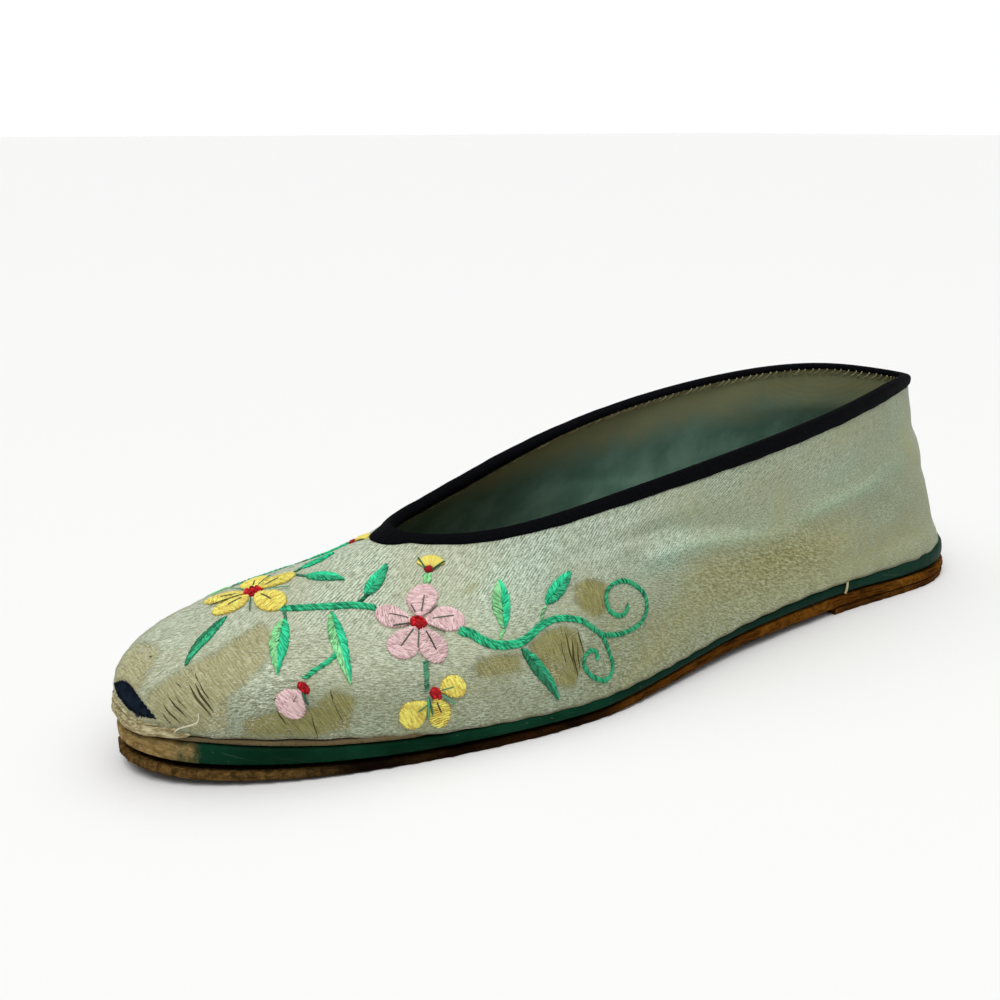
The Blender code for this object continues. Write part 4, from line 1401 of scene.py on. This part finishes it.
def sew_everything():
    """All the embroidery, sorted by colour."""
    for row in LEAVES:
        sew_blade(*row)
    for row in BUD_PETALS:
        sew_petal(*row)
    sew_flower(PINK_HEART, PINK_TIPS, PINK_HALF, "pink", PINK_SIDES)
    sew_flower(YELLOW_HEART, YELLOW_TIPS, YELLOW_HALF, "yellow", YELLOW_SIDES)
    for row in STEMS:
        sew_stem(*row)
    for tone, au, av, bu, bv, thick in VEINS:
        keep(tone, [(au, av)], [(bu, bv)], thick, 0.08, None, 0.42)
    for row in HEARTS:
        sew_heart(*row)
    for row in FAN_BUDS:
        sew_fan(*row)


THREAD_TONES = {
    "bright": (0.014, 0.560, 0.265), "leaf": (0.016, 0.360, 0.165), "dark": (0.012, 0.190, 0.085),
    "pale": (0.250, 0.640, 0.285), "stem": (0.016, 0.450, 0.200), "tendril": (0.013, 0.320, 0.135),
    "dull": (0.070, 0.270, 0.150), "pink": (0.860, 0.560, 0.560), "yellow": (0.920, 0.720, 0.160),
    # rim_pink and rim_yellow: darker copies of the petal floss, painted shade at the petals' edges.
    "red": (0.520, 0.003, 0.010), "vein": (0.110, 0.125, 0.085), "rim_pink": (0.600, 0.370, 0.360),
    "rim_yellow": (0.520, 0.400, 0.090),
}
GREEN_TONES = ("bright", "leaf", "stem", "tendril")
SOFT_TONES = ("pink", "yellow", "rim_pink", "rim_yellow")


def thread_finish(tone, base):
    """Silk floss: shade changes from stitch to stitch and fine strands along each."""
    f = Finish("floss_" + tone)
    shade = f.mark("shade")
    at = f.place()
    strands = f.noise(at, 2600.0, 2.0, 0.6)
    soil = f.noise(at, 160.0, 3.0, 0.6)
    low, high = (0.68, 1.22) if tone in SOFT_TONES else (0.34, 1.40)
    warm = (1.0, 0.85, 0.6) if "yellow" in tone else (1.0, 1.0, 1.0)
    dark = tuple(low * c * w for c, w in zip(base, warm))
    bloom = (0.025, 0.070, 0.055) if tone in GREEN_TONES else (0.008, 0.008, 0.008)
    lit = tuple(min(0.92, high * c + b) for c, b in zip(base, bloom))
    look = f.mix(shade, dark, lit)
    dull = tuple(0.55 * c + 0.05 for c in base)
    look = f.mix(f.step(soil, 0.52, 0.80, 0.0, 0.25), look, dull)
    relief = f.bump(strands, 0.00005, 0.5)
    return f.surface(Base_Color=look, Roughness=0.5, Normal=relief, Specular_IOR_Level=0.18)


def add_embroidery():
    """One piece for each colour of floss."""
    sew_everything()
    for tone, base in THREAD_TONES.items():
        start, end, thick, lift, shade, bed = (np.concatenate(part) for part in zip(*stitches[tone]))
        points = stitch_tubes(start, end, thick, lift, bed)
        count, rings, sides = points.shape[:3]
        faces = tube_faces(count, rings, sides)
        marks = {"shade": np.repeat(shade, rings * sides)}
        add_piece("embroidery_" + tone, points, faces, thread_finish(tone, base), None, marks)


def plain_thread(name, dark, lit):
    """Dull thread or fibre, its shade changing from one to the next."""
    f = Finish(name)
    fine = f.noise(f.place(), 1800.0, 2.0, 0.6)
    look = f.mix(f.mark("shade"), dark, lit)
    relief = f.bump(fine, 0.00004, 0.5)
    return f.surface(Base_Color=look, Roughness=0.8, Normal=relief, Specular_IOR_Level=0.1)


def add_tubes(name, points, finish):
    """Many tubes as one piece, each with its own shade."""
    count, rings, sides = points.shape[:3]
    shade = np.repeat(random.uniform(0.0, 1.0, count), rings * sides)
    return add_piece(name, points, tube_faces(count, rings, sides), finish, None, {"shade": shade})


def add_splits():
    """Splits in the worn cloth: dark closed slivers, each a lens in outline, lying just over the silk."""
    t = np.linspace(0.0, 1.0, 12)
    start = SPLITS[:, None, 0:2]
    end = SPLITS[:, None, 2:4]
    flat = start * (1.0 - t[None, :, None]) + end * t[None, :, None]
    wavy = 0.022 * np.sin(7.0 * t + 2.0) * np.sin(np.pi * t)
    point, normal = laid_line(flat + square_to(end - start) * wavy[None, :, None])
    side = np.cross(unit(np.gradient(point, axis=1)), normal)
    half = (0.62 * SPLITS[:, 4:5] * (0.10 + np.sin(np.pi * t)[None, :] ** 0.8))[:, :, None]
    ring = [point + side * half, point + normal * 0.07, point - side * half, point - normal * 0.2]
    # The slivers are painted shadow: the dark seen inside each split.
    shadow = plain_thread("split_shadow", (0.040, 0.034, 0.014), (0.090, 0.078, 0.034))
    add_tubes("cloth_splits", np.stack(ring, axis=2), shadow)


def add_frays():
    """Broken silk ends: fine bent fibres along the cloth, round the rubbed spots and the bare patches."""
    places = []
    for u, v, long, wide, amount in FUZZ:
        count = int(10 + 1.9 * amount * long * wide)
        places.append(np.array([u, v]) + random.normal(0.0, 0.62, (count, 2)) * np.array([long, wide]))
    for patch in BARE:
        loop = np.vstack([patch, patch[:1]])
        count = int(np.linalg.norm(np.diff(loop, axis=0), axis=1).sum() / 1.5)
        places.append(along_line(loop, np.linspace(0.0, 1.0, count)) + random.normal(0.0, 0.7, (count, 2)))
    places = np.vstack(places)
    places = places[inside(places[:, 0], places[:, 1], TOE_HOLE) < -2.0]
    count = len(places)
    turn = random.normal(-0.30, 0.26, count)
    size = random.uniform(0.8, 2.8, count)
    t = np.linspace(0.0, 1.0, 5)[None, :]
    ahead = ray_at(turn)[:, None]
    curl = random.normal(0.0, 0.07, count)[:, None]
    curl = curl * np.sin(np.pi * t * random.uniform(0.6, 1.8, count)[:, None])
    flat = places[:, None] + ahead * ((t - 0.5) * size[:, None])[:, :, None]
    point, normal = laid_line(flat + square_to(ahead) * curl[:, :, None])
    high = random.uniform(0.02, 0.14, count)[:, None] * np.sin(np.pi * t)
    high = high + random.uniform(0.0, 0.10, count)[:, None] * t
    thick = random.uniform(0.024, 0.045, count)[:, None] * np.array([1.0, 1.0, 1.0, 0.9, 0.6])[None, :]
    add_tubes("silk_ends", tubes(point + normal * high[:, :, None], normal, thick, 3),
              plain_thread("frayed_silk", (0.36, 0.38, 0.25), (0.64, 0.66, 0.52)))


# Torn hem rolled over at the toe: thickness, then places on the flat pattern.
TOE_ROLLS = [
    (0.34, [
        (-5.0, 2.6), (-5.9, -0.6), (-6.5, -3.4), (-6.9, -6.4), (-6.0, -8.8), (-4.2, -11.2),
    ]),
    (0.95, [
        (-7.6, 6.5), (-8.7, 1.6), (-9.2, -3.2), (-8.6, -7.6), (-6.8, -11.0), (-4.6, -14.0), (-1.6, -16.4),
    ]),
    (0.62, [
        (-6.6, 5.0), (-7.4, 0.8), (-7.9, -3.4), (-7.5, -7.0), (-6.1, -10.0), (-4.2, -12.6), (-2.6, -14.2),
    ]),
]
# Middle line of the stiffener in the hole, and its half width at fractions of that line.
STIFFENER_LINE = [(-3.4, 2.0), (-3.6, -0.6), (-3.6, -3.4), (-4.0, -6.4), (-3.7, -8.8), (-3.4, -10.6)]
STIFFENER_HALF = np.array([
    (0.00, 0.05), (0.10, 1.0), (0.25, 1.75), (0.45, 2.05), (0.65, 2.0), (0.80, 1.45), (0.92, 0.7),
    (1.00, 0.05),
])
LOOSE_THREAD = [(-4.4, -13.7), (-1.6, -14.6), (0.4, -15.6), (2.9, -16.8), (4.0, -16.4)]


def add_toe_wear():
    """Torn hem at the toe: ragged cotton rolls along the hole's lower edge, a loose thread beside them."""
    t = np.linspace(0.0, 1.0, 40)
    lines = np.stack([fine_line(places, 40)[0] for _, places in TOE_ROLLS])
    point, normal = laid_line(lines)
    size = np.array([row[0] for row in TOE_ROLLS])[:, None]
    phase = np.array([0.3, 1.9, 4.0])[:, None]
    lumps = 1.0 + 0.16 * np.sin(t * 11.0 + phase) + 0.08 * np.sin(t * 27.0 + 2.0 * phase)
    thick = size * lumps * (0.15 + 0.85 * np.sin(np.pi * t)[None, :] ** 0.45)
    shape = tubes(point + normal * (size * 0.35)[:, :, None], normal, thick, 12)
    f = Finish("torn_cotton")
    place = f.place()
    fibre = f.noise(f.turned(place, (500.0, 1400.0, 2600.0), 0.5), 1.0, 3.0, 0.65)
    blot = f.noise(place, 260.0, 3.0, 0.6)
    tone = f.mix(f.step(fibre, 0.34, 0.66), (0.210, 0.160, 0.070), (0.560, 0.510, 0.310))
    tone = f.mix(f.step(blot, 0.54, 0.70, 0.0, 0.6), tone, (0.095, 0.066, 0.028))
    f.surface(Base_Color=tone, Roughness=0.85, Normal=f.bump(fibre, 0.00025, 0.8), Specular_IOR_Level=0.1)
    add_tubes("torn_hem", shape, f.material)
    point, normal = laid_line(fine_line(LOOSE_THREAD, 24)[0][None])
    high = 0.25 + 0.7 * np.sin(np.pi * np.linspace(0.0, 1.0, 24)) ** 1.5
    shape = tubes(point + normal * high[None, :, None], normal, np.full((1, 24), 0.16), 6)
    cream = plain_thread("cream_thread", (0.62, 0.58, 0.42), (0.62, 0.58, 0.42))
    add_tubes("loose_thread", shape, cream)


def add_toe_stiffener():
    """Navy cotton of the toe's stiffener, seen in the hole: a flat lens over the hole's long axis.

    Five rails run along it, at shares of its half width, and one behind them closes it.
    """
    count = 36
    t = np.linspace(0.0, 1.0, count)
    line, _ = fine_line(STIFFENER_LINE, count)
    half = table_at(STIFFENER_HALF, t) + 0.10 * np.sin(17.0 * t) * np.sin(np.pi * t)
    shares = np.array([1.0, 0.55, 0.0, -0.55, -1.0])
    flat = line[None] + np.stack([shares[:, None] * half, np.zeros((5, count))], axis=-1)
    point, normal = laid_line(flat)
    rails = point + normal * np.array([-0.02, 0.10, 0.14, 0.10, -0.02])[:, None, None]
    along = np.gradient(rails[2], axis=0)
    if np.sum((rails[0] - rails[4]) * np.cross(along, normal[2])) < 0.0:
        rails = rails[::-1]
    ring = np.concatenate([rails, (point[2] - normal[2] * 0.35)[None]])
    f = Finish("navy_stiffener")
    place = f.place()
    weave = f.noise(place, 1700.0, 3.0, 0.6)
    tone = f.mix(f.step(f.noise(place, 420.0, 3.0, 0.6), 0.35, 0.7), (0.0030, 0.0062, 0.0120),
                 (0.0100, 0.0180, 0.0300))
    f.surface(Base_Color=tone, Roughness=0.9, Normal=f.bump(weave, 0.00012, 0.7), Specular_IOR_Level=0.04)
    add_tubes("toe_stiffener", ring.transpose(1, 0, 2)[None], f.material)


# Sewing inside the collar: distance between stitches, distance kept from the throat, thread radius.
WHIP_PITCH = 2.1
WHIP_CLEAR = 4.0
WHIP_THREAD = 0.15
# Stitch over the green band's join: fraction of the length, thread radius.
JOIN_AT = 0.755
JOIN_THREAD = 0.32


def add_whip_stitches():
    """Sewing that holds the tape inside the collar: short slanting stitches under its inner edge.

    Each stitch is rows of (distance below the tape's edge, distance off the upper's face).
    """
    stitch_rows = ((-0.35, -2.28), (0.05, -2.38), (0.7, -2.05), (1.3, -1.72), (1.5, -1.40))
    top, _ = below_collar(0.0)
    along = run_round(top)
    at = np.arange(WHIP_CLEAR, along[-1] - WHIP_CLEAR, WHIP_PITCH)
    j = np.searchsorted(along, at) % len(top)
    leg = table_at(TAPE_INNER, top[:, 0])
    ends = []
    for drop, off in stitch_rows:
        point, out = below_collar(np.maximum(leg + drop, 0.2))
        ends.append((point + out * off)[(j + int(round(drop * 1.2))) % len(top)])
    line = np.stack(ends, axis=1)
    _, out = below_collar(2.0)
    inward = np.repeat(-out[j][:, None], line.shape[1], axis=1)
    gold = plain_thread("gold_sewing_thread", (0.26, 0.21, 0.09), (0.55, 0.49, 0.29))
    shape = tubes(line, inward, np.full(line.shape[:2], WHIP_THREAD), 5)
    add_tubes("whip_stitches", shape, gold)


def add_join_stitches():
    """A cream stitch over the green band's join on each side of the heel."""
    along = np.array([JOIN_AT])
    low = band_top(along) - sole_value(along, "band")
    t = np.linspace(0.0, 1.0, 8)
    lines = []
    for side, name in ((-1.0, "outer"), (1.0, "inner")):
        y = side * (half_width(along, PLAN, PLAN_COLUMNS, name) + 0.22 * np.sin(np.pi * t) - 0.05)
        z = low + 0.1 + (sole_value(along, "band") + 0.1) * t
        lines.append(np.column_stack([along * LENGTH + 0.5 * (t - 0.5), y, z]))
    line = np.stack(lines)
    out = np.stack([np.tile([0.0, -1.0, 0.0], (8, 1)), np.tile([0.0, 1.0, 0.0], (8, 1))])
    cream = plain_thread("cream_stitch", (0.50, 0.42, 0.24), (0.62, 0.54, 0.34))
    add_tubes("join_stitches", tubes(line, out, np.full((2, 8), JOIN_THREAD), 6), cream)


def leather_finish(name, dark, mid, light, toe_tone):
    """Edge of a leather layer: fibres along it, dark stain, scuffs, a paler worn toe, dark flat faces."""
    f = Finish(name)
    at = f.pattern()
    place = f.place()
    forward = f.lengthwise(place)
    fibre = f.noise(f.turned(at, (0.16, 2.6, 1.0)), 1.0, 4.0, 0.65)
    fuzz = f.noise(place, 900.0, 3.0, 0.7)
    cloud = f.noise(at, 0.08, 3.0)
    tone = f.mix(f.step(fibre, 0.36, 0.64), dark, mid)
    tone = f.mix(f.times(f.step(cloud, 0.42, 0.60), f.step(fuzz, 0.3, 0.7)), tone, light)
    toe = f.step(f.sum(forward, f.times(cloud, 0.02)), -0.030, -0.075)
    toe_dark = tuple(0.30 * c for c in toe_tone)
    worn = f.mix(f.step(f.sum(f.times(fibre, 0.3), fuzz), 0.52, 0.80), toe_dark, toe_tone)
    tone = f.mix(toe, tone, worn)
    waist = f.times(f.step(forward, -0.098, -0.080), f.step(forward, -0.012, -0.038))
    tone = f.mix(f.times(waist, f.step(cloud, 0.35, 0.65, 1.0, 0.88)), tone, (0.005, 0.002, 0.001))
    # Painted shadow: the flat faces, which lie in the gaps between the layers, darkened.
    tone = f.mix(f.times(f.step(f.mark("face"), 0.2, 0.8), 0.85), tone, (0.010, 0.007, 0.004))
    height = f.sum(f.times(fibre, 0.6), f.times(fuzz, 0.5))
    relief = f.bump(height, 0.00045, 0.9)
    return f.surface(Base_Color=tone, Roughness=0.85, Normal=relief, Specular_IOR_Level=0.02)


def green_finish():
    """Dark green glazed leather with scratches, dulled and rubbed to tan round the toe."""
    f = Finish("green_band")
    at = f.pattern()
    place = f.place()
    forward = f.lengthwise(place)
    cloud = f.noise(at, 0.07, 3.0, 0.6)
    grain = f.noise(place, 700.0, 3.0, 0.6)
    scratch = f.step(f.noise(f.turned(at, (0.10, 2.2, 1.0), 0.12), 1.0, 3.0, 0.6, 0.6), 0.61, 0.70)
    fleck = f.step(f.noise(f.turned(at, (0.7, 1.6, 1.0), 0.5), 1.0, 2.0), 0.70, 0.76)
    tone = f.mix(f.step(cloud, 0.35, 0.68), (0.0008, 0.018, 0.0070), (0.0030, 0.037, 0.0180))
    waist = f.times(f.step(forward, -0.040, 0.0), f.step(forward, 0.070, 0.040))
    tone = f.mix(f.times(waist, 0.75), tone, (0.0005, 0.021, 0.0125))
    rear = f.step(forward, 0.045, 0.075)
    tone = f.mix(f.times(rear, f.step(cloud, 0.35, 0.65, 0.45, 0.9)), tone, (0.0060, 0.033, 0.021))
    tone = f.mix(f.times(scratch, 0.30), tone, (0.045, 0.095, 0.055))
    tone = f.mix(f.times(fleck, 0.5), tone, (0.14, 0.16, 0.09))
    front = f.sum(forward, f.times(f.sum(f.noise(at, 0.25, 4.0, 0.7), -0.5), 0.014))
    toe = f.step(front, -0.1070, -0.1130)
    bared = f.step(f.noise(f.turned(at, (0.30, 0.9, 1.0)), 1.0, 4.0, 0.7), 0.36, 0.64)
    rubbed = f.mix(bared, (0.150, 0.094, 0.029), (0.370, 0.262, 0.104))
    tone = f.mix(toe, tone, rubbed)
    # Painted shadow: the flat faces, under the silk and between the layers, darkened.
    tone = f.mix(f.times(f.step(f.mark("face"), 0.2, 0.8), 0.7), tone, (0.006, 0.010, 0.006))
    rough = f.sum(f.step(cloud, 0.3, 0.7, 0.42, 0.54), f.times(toe, 0.3))
    height = f.sum(f.times(grain, 0.4), f.times(scratch, -0.4))
    relief = f.bump(height, 0.00012, 0.6)
    return f.surface(Base_Color=tone, Roughness=rough, Normal=relief, Specular_IOR_Level=0.03)


def board_finish():
    """Tan paper board and cotton sock: fine mottling, the edge darker, painted shadow at its rim and faces.
    """
    f = Finish("tan_board")
    place = f.place()
    fleck = f.noise(place, 1500.0, 3.0, 0.6)
    cloud = f.noise(place, 60.0, 3.0, 0.6)
    weave = f.times(f.waves(place, 900.0, 0.4, "X"), f.waves(place, 900.0, 0.4, "Y"))
    tone = f.mix(f.step(cloud, 0.3, 0.7), (0.235, 0.165, 0.080), (0.360, 0.275, 0.150))
    tone = f.mix(f.step(fleck, 0.45, 0.75, 0.0, 0.5), tone, (0.17, 0.115, 0.055))
    tone = f.mix(f.step(f.mark("face"), 0.7, 0.2), tone, (0.46, 0.45, 0.40), "MULTIPLY")
    # Painted shadow along the top and bottom rows of the edge and on the flat faces.
    rim_shadow = f.step(f.mark("face"), 0.1, 0.5)
    tone = f.mix(f.times(rim_shadow, 0.5), tone, (0.060, 0.042, 0.022))
    return f.surface(Base_Color=tone, Roughness=0.85, Normal=f.bump(f.sum(weave, fleck), 0.00012, 0.6),
                     Specular_IOR_Level=0.2)


def layer_piece(name, rings, run, rim_rows, finish, node):
    """A sole layer from its rings, flat faces first and last, its pattern the lengths round and across it."""
    points = np.stack(rings, axis=1)
    around, across = points.shape[:2]
    faces = ring_faces(around, across, False)[:, ::-1]
    cross = run_along(points[around // 4])
    j = faces // across
    last = (j == 0) & (j.max(axis=1) == around - 1)[:, None]
    uv = np.stack([np.where(last, run[-1], run[j]), cross[faces % across]], axis=-1)
    flat = np.ones((across - rim_rows) // 2)
    face = np.concatenate([flat, [0.6], np.zeros(rim_rows - 2), [0.6], flat])
    # face: 1 on the flat faces, 0.6 on the edge's first and last rows, 0 between; the finishes paint shadow
    # by it.
    marks = {"face": np.broadcast_to(face, (around, across))}
    return weld(add_piece(name, points, [faces], finish, uv, marks, (node,), 50.0))


def sole_layer(name, loop, low, high, edge, finish, node, rough_edge, crown=0.0):
    """A sole layer: flat faces drawn in to the foot's middle line, an edge profile carried round its outline.

    edge is rows of (how far in, share of the thickness); the faces follow at shares of the way from the
    middle. rough_edge is the height of the sine waves that make the edge uneven.
    """
    along = np.clip(loop[:, 0] / LENGTH, 0.0, 1.0)
    mid_x = np.clip(loop[:, 0], 0.07 * LENGTH, 0.94 * LENGTH)
    mid_at = mid_x / LENGTH
    outer = half_width(mid_at, PLAN, PLAN_COLUMNS, "outer")
    inner = half_width(mid_at, PLAN, PLAN_COLUMNS, "inner")
    middle = np.column_stack([mid_x, (inner - outer) / 2.0])
    normal = level_normal(loop)
    run = run_round(loop)
    place = run[:-1]
    low_edge = low(along)
    high_edge = high(along)
    shares = np.array([0.0, 0.35, 0.7, 0.92])
    rings = []
    for share in shares:
        flat = middle * (1.0 - share) + (loop - normal * edge[0][0]) * share
        rings.append(np.column_stack([flat, low(mid_at) * (1.0 - share) + low_edge * share]))
    waves = np.sin(place * 1.9) * np.sin(place * 0.53 + 1.0) + 0.6 * np.sin(place * 4.3 + 0.4)
    for inset, share in edge:
        free = 1.0 if 0.05 < share < 0.95 else 0.4
        flat = loop - normal * (inset + rough_edge * waves * free)[:, None]
        rings.append(np.column_stack([flat, low_edge + (high_edge - low_edge) * share]))
    for share in shares[::-1]:
        flat = middle * (1.0 - share) + (loop - normal * edge[-1][0]) * share
        rise = crown * (1.0 - share ** 2)
        rings.append(np.column_stack([flat, high(mid_at) * (1.0 - share) + high_edge * share + rise]))
    return layer_piece(name, rings, run, len(edge), finish, node)


# Edge profiles of the sole layers: how far in from the outline, share of the thickness.
OUTSOLE_EDGE = [
    (0.7, 0.0), (0.14, 0.02), (0.0, 0.14), (0.0, 0.40), (0.0, 0.66), (0.10, 0.88), (0.34, 0.98), (1.4, 1.0),
]
LIFT_EDGE = [(0.5, 0.0), (0.10, 0.04), (0.0, 0.25), (0.0, 0.5), (0.0, 0.8), (0.2, 0.97), (0.7, 1.0)]
BAND_EDGE = [
    (3.2, 0.0), (1.2, 0.02), (0.40, 0.08), (0.10, 0.20), (0.0, 0.42), (0.02, 0.64), (0.18, 0.84),
    (0.55, 0.95),
    (1.3, 1.0),
]
BOARD_EDGE = [(0.25, 0.0), (0.02, 0.25), (0.0, 0.6), (0.12, 0.92), (0.5, 1.0)]
# Share of the outsole's inset that the visible leather is drawn in by.
LEATHER_IN = 0.35


def outsole_low(s):
    """Underside of the outsole."""
    return sole_value(s, "under")


def outsole_top(s):
    """Upper face of the outsole, a little lower round the toe."""
    return outsole_low(s) + sole_value(s, "outsole") - 0.05 - 0.20 * ease((0.16 - s) / 0.12)


def band_low(s):
    """Underside of the green band, a little higher round the forefoot and more so at the toe."""
    low = band_top(s) - sole_value(s, "band")
    return low + 0.30 * ease((0.45 - s) / 0.15) + 0.40 * ease((0.20 - s) / 0.14)


def pressed_top(s):
    """Upper face of the green band where it is pressed down."""
    return band_top(s) - table_at(BAND_DROP, s)


def board_low(s):
    """Underside of the tan board."""
    return pressed_top(s) + GAP


def board_top(s):
    """Upper face of the tan board."""
    return pressed_top(s) + GAP + INSOLE


def add_soles():
    """Outsole, heel lift, green band and insole, each in the place of its solid."""
    plan = outline(SOLE_POINTS)
    normal = level_normal(plan)
    along = plan[:, 0] / LENGTH
    loop = plan - normal * (LEATHER_IN * edge_value(along, "outsole"))[:, None]
    finish = leather_finish("sole_leather_edge", (0.026, 0.009, 0.001), (0.125, 0.044, 0.004),
                            (0.215, 0.084, 0.009), (0.165, 0.094, 0.028))
    sole_layer("outsole_leather", loop, outsole_low, outsole_top, OUTSOLE_EDGE, finish,
               "outsole", 0.20)
    finish = leather_finish("lift_leather_edge", (0.020, 0.007, 0.002), (0.090, 0.033, 0.005),
                            (0.150, 0.060, 0.009), (0.20, 0.12, 0.05))
    add_lift(outline(LIFT_POINTS, None, HEEL_LIFT_FRONT), finish)
    sole_layer("green_band", plan, band_low, pressed_top, BAND_EDGE, green_finish(),
               "midsole", 0.05)
    loop = plan - normal * table_at(BOARD_IN, along)[:, None]
    sole_layer("insole_board", loop, board_low, board_top, BOARD_EDGE, board_finish(),
               "insole", 0.05, 0.25)


def add_lift(loop, finish):
    """Heel lift: flat faces and an edge profile drawn in towards a middle line, with a straight front."""
    front = np.linspace(0.0, 1.0, 14)[1:-1, None]
    closed = np.vstack([loop, loop[-1] * (1.0 - front) + loop[0] * front])
    x = closed[:, 0]
    mid_x = np.clip(x, x.min() + 14.0, x.max() - 18.0)
    centre = np.column_stack([mid_x, np.full(len(x), closed[:, 1].mean())])
    away = unit(closed - centre)
    closed = closed - away * LEATHER_IN * edge_value(closed[:, :1] / LENGTH, "outsole")
    run = run_round(closed)
    ragged = 0.10 * np.sin(run[:-1] * 1.7) * np.sin(run[:-1] * 0.41)
    shares = (0.0, 0.5, 0.9)

    def at_height(flat, height):
        return np.column_stack([flat, np.full(len(flat), height)])

    rings = [at_height(centre + (closed - centre) * share, 0.0) for share in shares]
    for inset, share in LIFT_EDGE:
        rings.append(at_height(closed - away * (inset + ragged)[:, None], HEEL_LIFT * share))
    rings += [at_height(centre + (closed - centre) * share, HEEL_LIFT) for share in shares[::-1]]
    return layer_piece("heel_lift_leather", rings, run, len(LIFT_EDGE), finish, "heel_lift")


# Camera: turn and rise about its target, then yaw and pitch off the line to it, in degrees; distance in mm.
CAMERA_ANGLES = (-40.1, 18.2, -4.5, 1.5)
CAMERA_TARGET = np.array([117.5, 0.0, 25.0])
CAMERA_DISTANCE = 301.4
CAMERA_LENS = 45.36
CAMERA_SENSOR = 36.0

# Brightness of the dome from level to overhead: height of the ray, brightness.
DOME = ((0.0, 1.20), (0.115, 1.20), (0.155, 0.16), (0.50, 0.18), (0.78, 1.45), (1.0, 1.75))
DOME_STRENGTH = 0.85
LAMP_ENERGY = 1.0
LAMP_SPREAD = 35.0
LAMP_TURN = (12.0, -22.0, 0.0)
FLOOR_HALF = 12


def add_camera():
    """Camera at the photograph's angle to the slipper."""
    turn, rise, yaw, pitch = np.radians(CAMERA_ANGLES)
    back = np.array([np.sin(turn) * np.cos(rise), -np.cos(turn) * np.cos(rise), np.sin(rise)])
    eye = CAMERA_TARGET + back * CAMERA_DISTANCE
    up = np.array([0.0, 0.0, 1.0])
    ahead = -back * np.cos(yaw) + unit(np.cross(-back, up)) * np.sin(yaw)
    right = unit(np.cross(ahead, up))
    over = np.cross(right, ahead)
    look = ahead * np.cos(pitch) + over * np.sin(pitch)
    over = np.cross(right, look)
    data = bpy.data.cameras.new("camera")
    data.sensor_width = CAMERA_SENSOR
    data.lens = CAMERA_LENS
    data.clip_start = 0.01
    item = bpy.data.objects.new("camera", data)
    matrix = np.eye(4)
    matrix[:3, :3] = np.column_stack([right, over, -look])
    matrix[:3, 3] = (eye - CENTRE) * MM
    item.matrix_world = Matrix(matrix.tolist())
    bpy.context.scene.collection.objects.link(item)
    bpy.context.scene.camera = item


def add_stage():
    """Pale floor, a soft white dome that is brightest overhead, and one broad lamp from the toe side."""
    mesh = bpy.data.meshes.new("floor")
    corners = [(-1, -1, 0), (1, -1, 0), (1, 1, 0), (-1, 1, 0)]
    mesh.from_pydata(np.array(corners) * FLOOR_HALF, [], [(0, 1, 2, 3)])
    f = Finish("pale_floor")
    mesh.materials.append(f.surface(Base_Color=(0.86, 0.86, 0.855), Roughness=0.7, Specular_IOR_Level=0.2))
    floor = bpy.data.objects.new("floor", mesh)
    bpy.context.scene.collection.objects.link(floor)
    world = bpy.data.worlds.new("studio")
    world.use_nodes = True
    tree = world.node_tree
    ground = tree.nodes["Background"]
    ray = tree.nodes.new("ShaderNodeTexCoord")
    split = tree.nodes.new("ShaderNodeSeparateXYZ")
    ramp = tree.nodes.new("ShaderNodeValToRGB")
    stops = ramp.color_ramp.elements
    for place, _ in DOME[1:-1]:
        stops.new(place)
    for stop, (_, level) in zip(stops, DOME):
        stop.color = (level, level, level, 1.0)
    tree.links.new(ray.outputs["Generated"], split.inputs[0])
    tree.links.new(split.outputs["Z"], ramp.inputs[0])
    tree.links.new(ramp.outputs[0], ground.inputs["Color"])
    ground.inputs["Strength"].default_value = DOME_STRENGTH
    bpy.context.scene.world = world
    lamp = bpy.data.lights.new("broad_lamp", "SUN")
    lamp.energy = LAMP_ENERGY
    lamp.angle = np.radians(LAMP_SPREAD)
    item = bpy.data.objects.new("broad_lamp", lamp)
    item.rotation_euler = np.radians(LAMP_TURN)
    bpy.context.scene.collection.objects.link(item)
    bpy.context.scene.view_settings.view_transform = "Standard"


add_camera()
add_stage()
add_silk()
add_lining()
add_binding()
add_soles()
add_embroidery()
add_splits()
add_frays()
add_toe_wear()
add_toe_stiffener()
add_whip_stitches()
add_join_stitches()
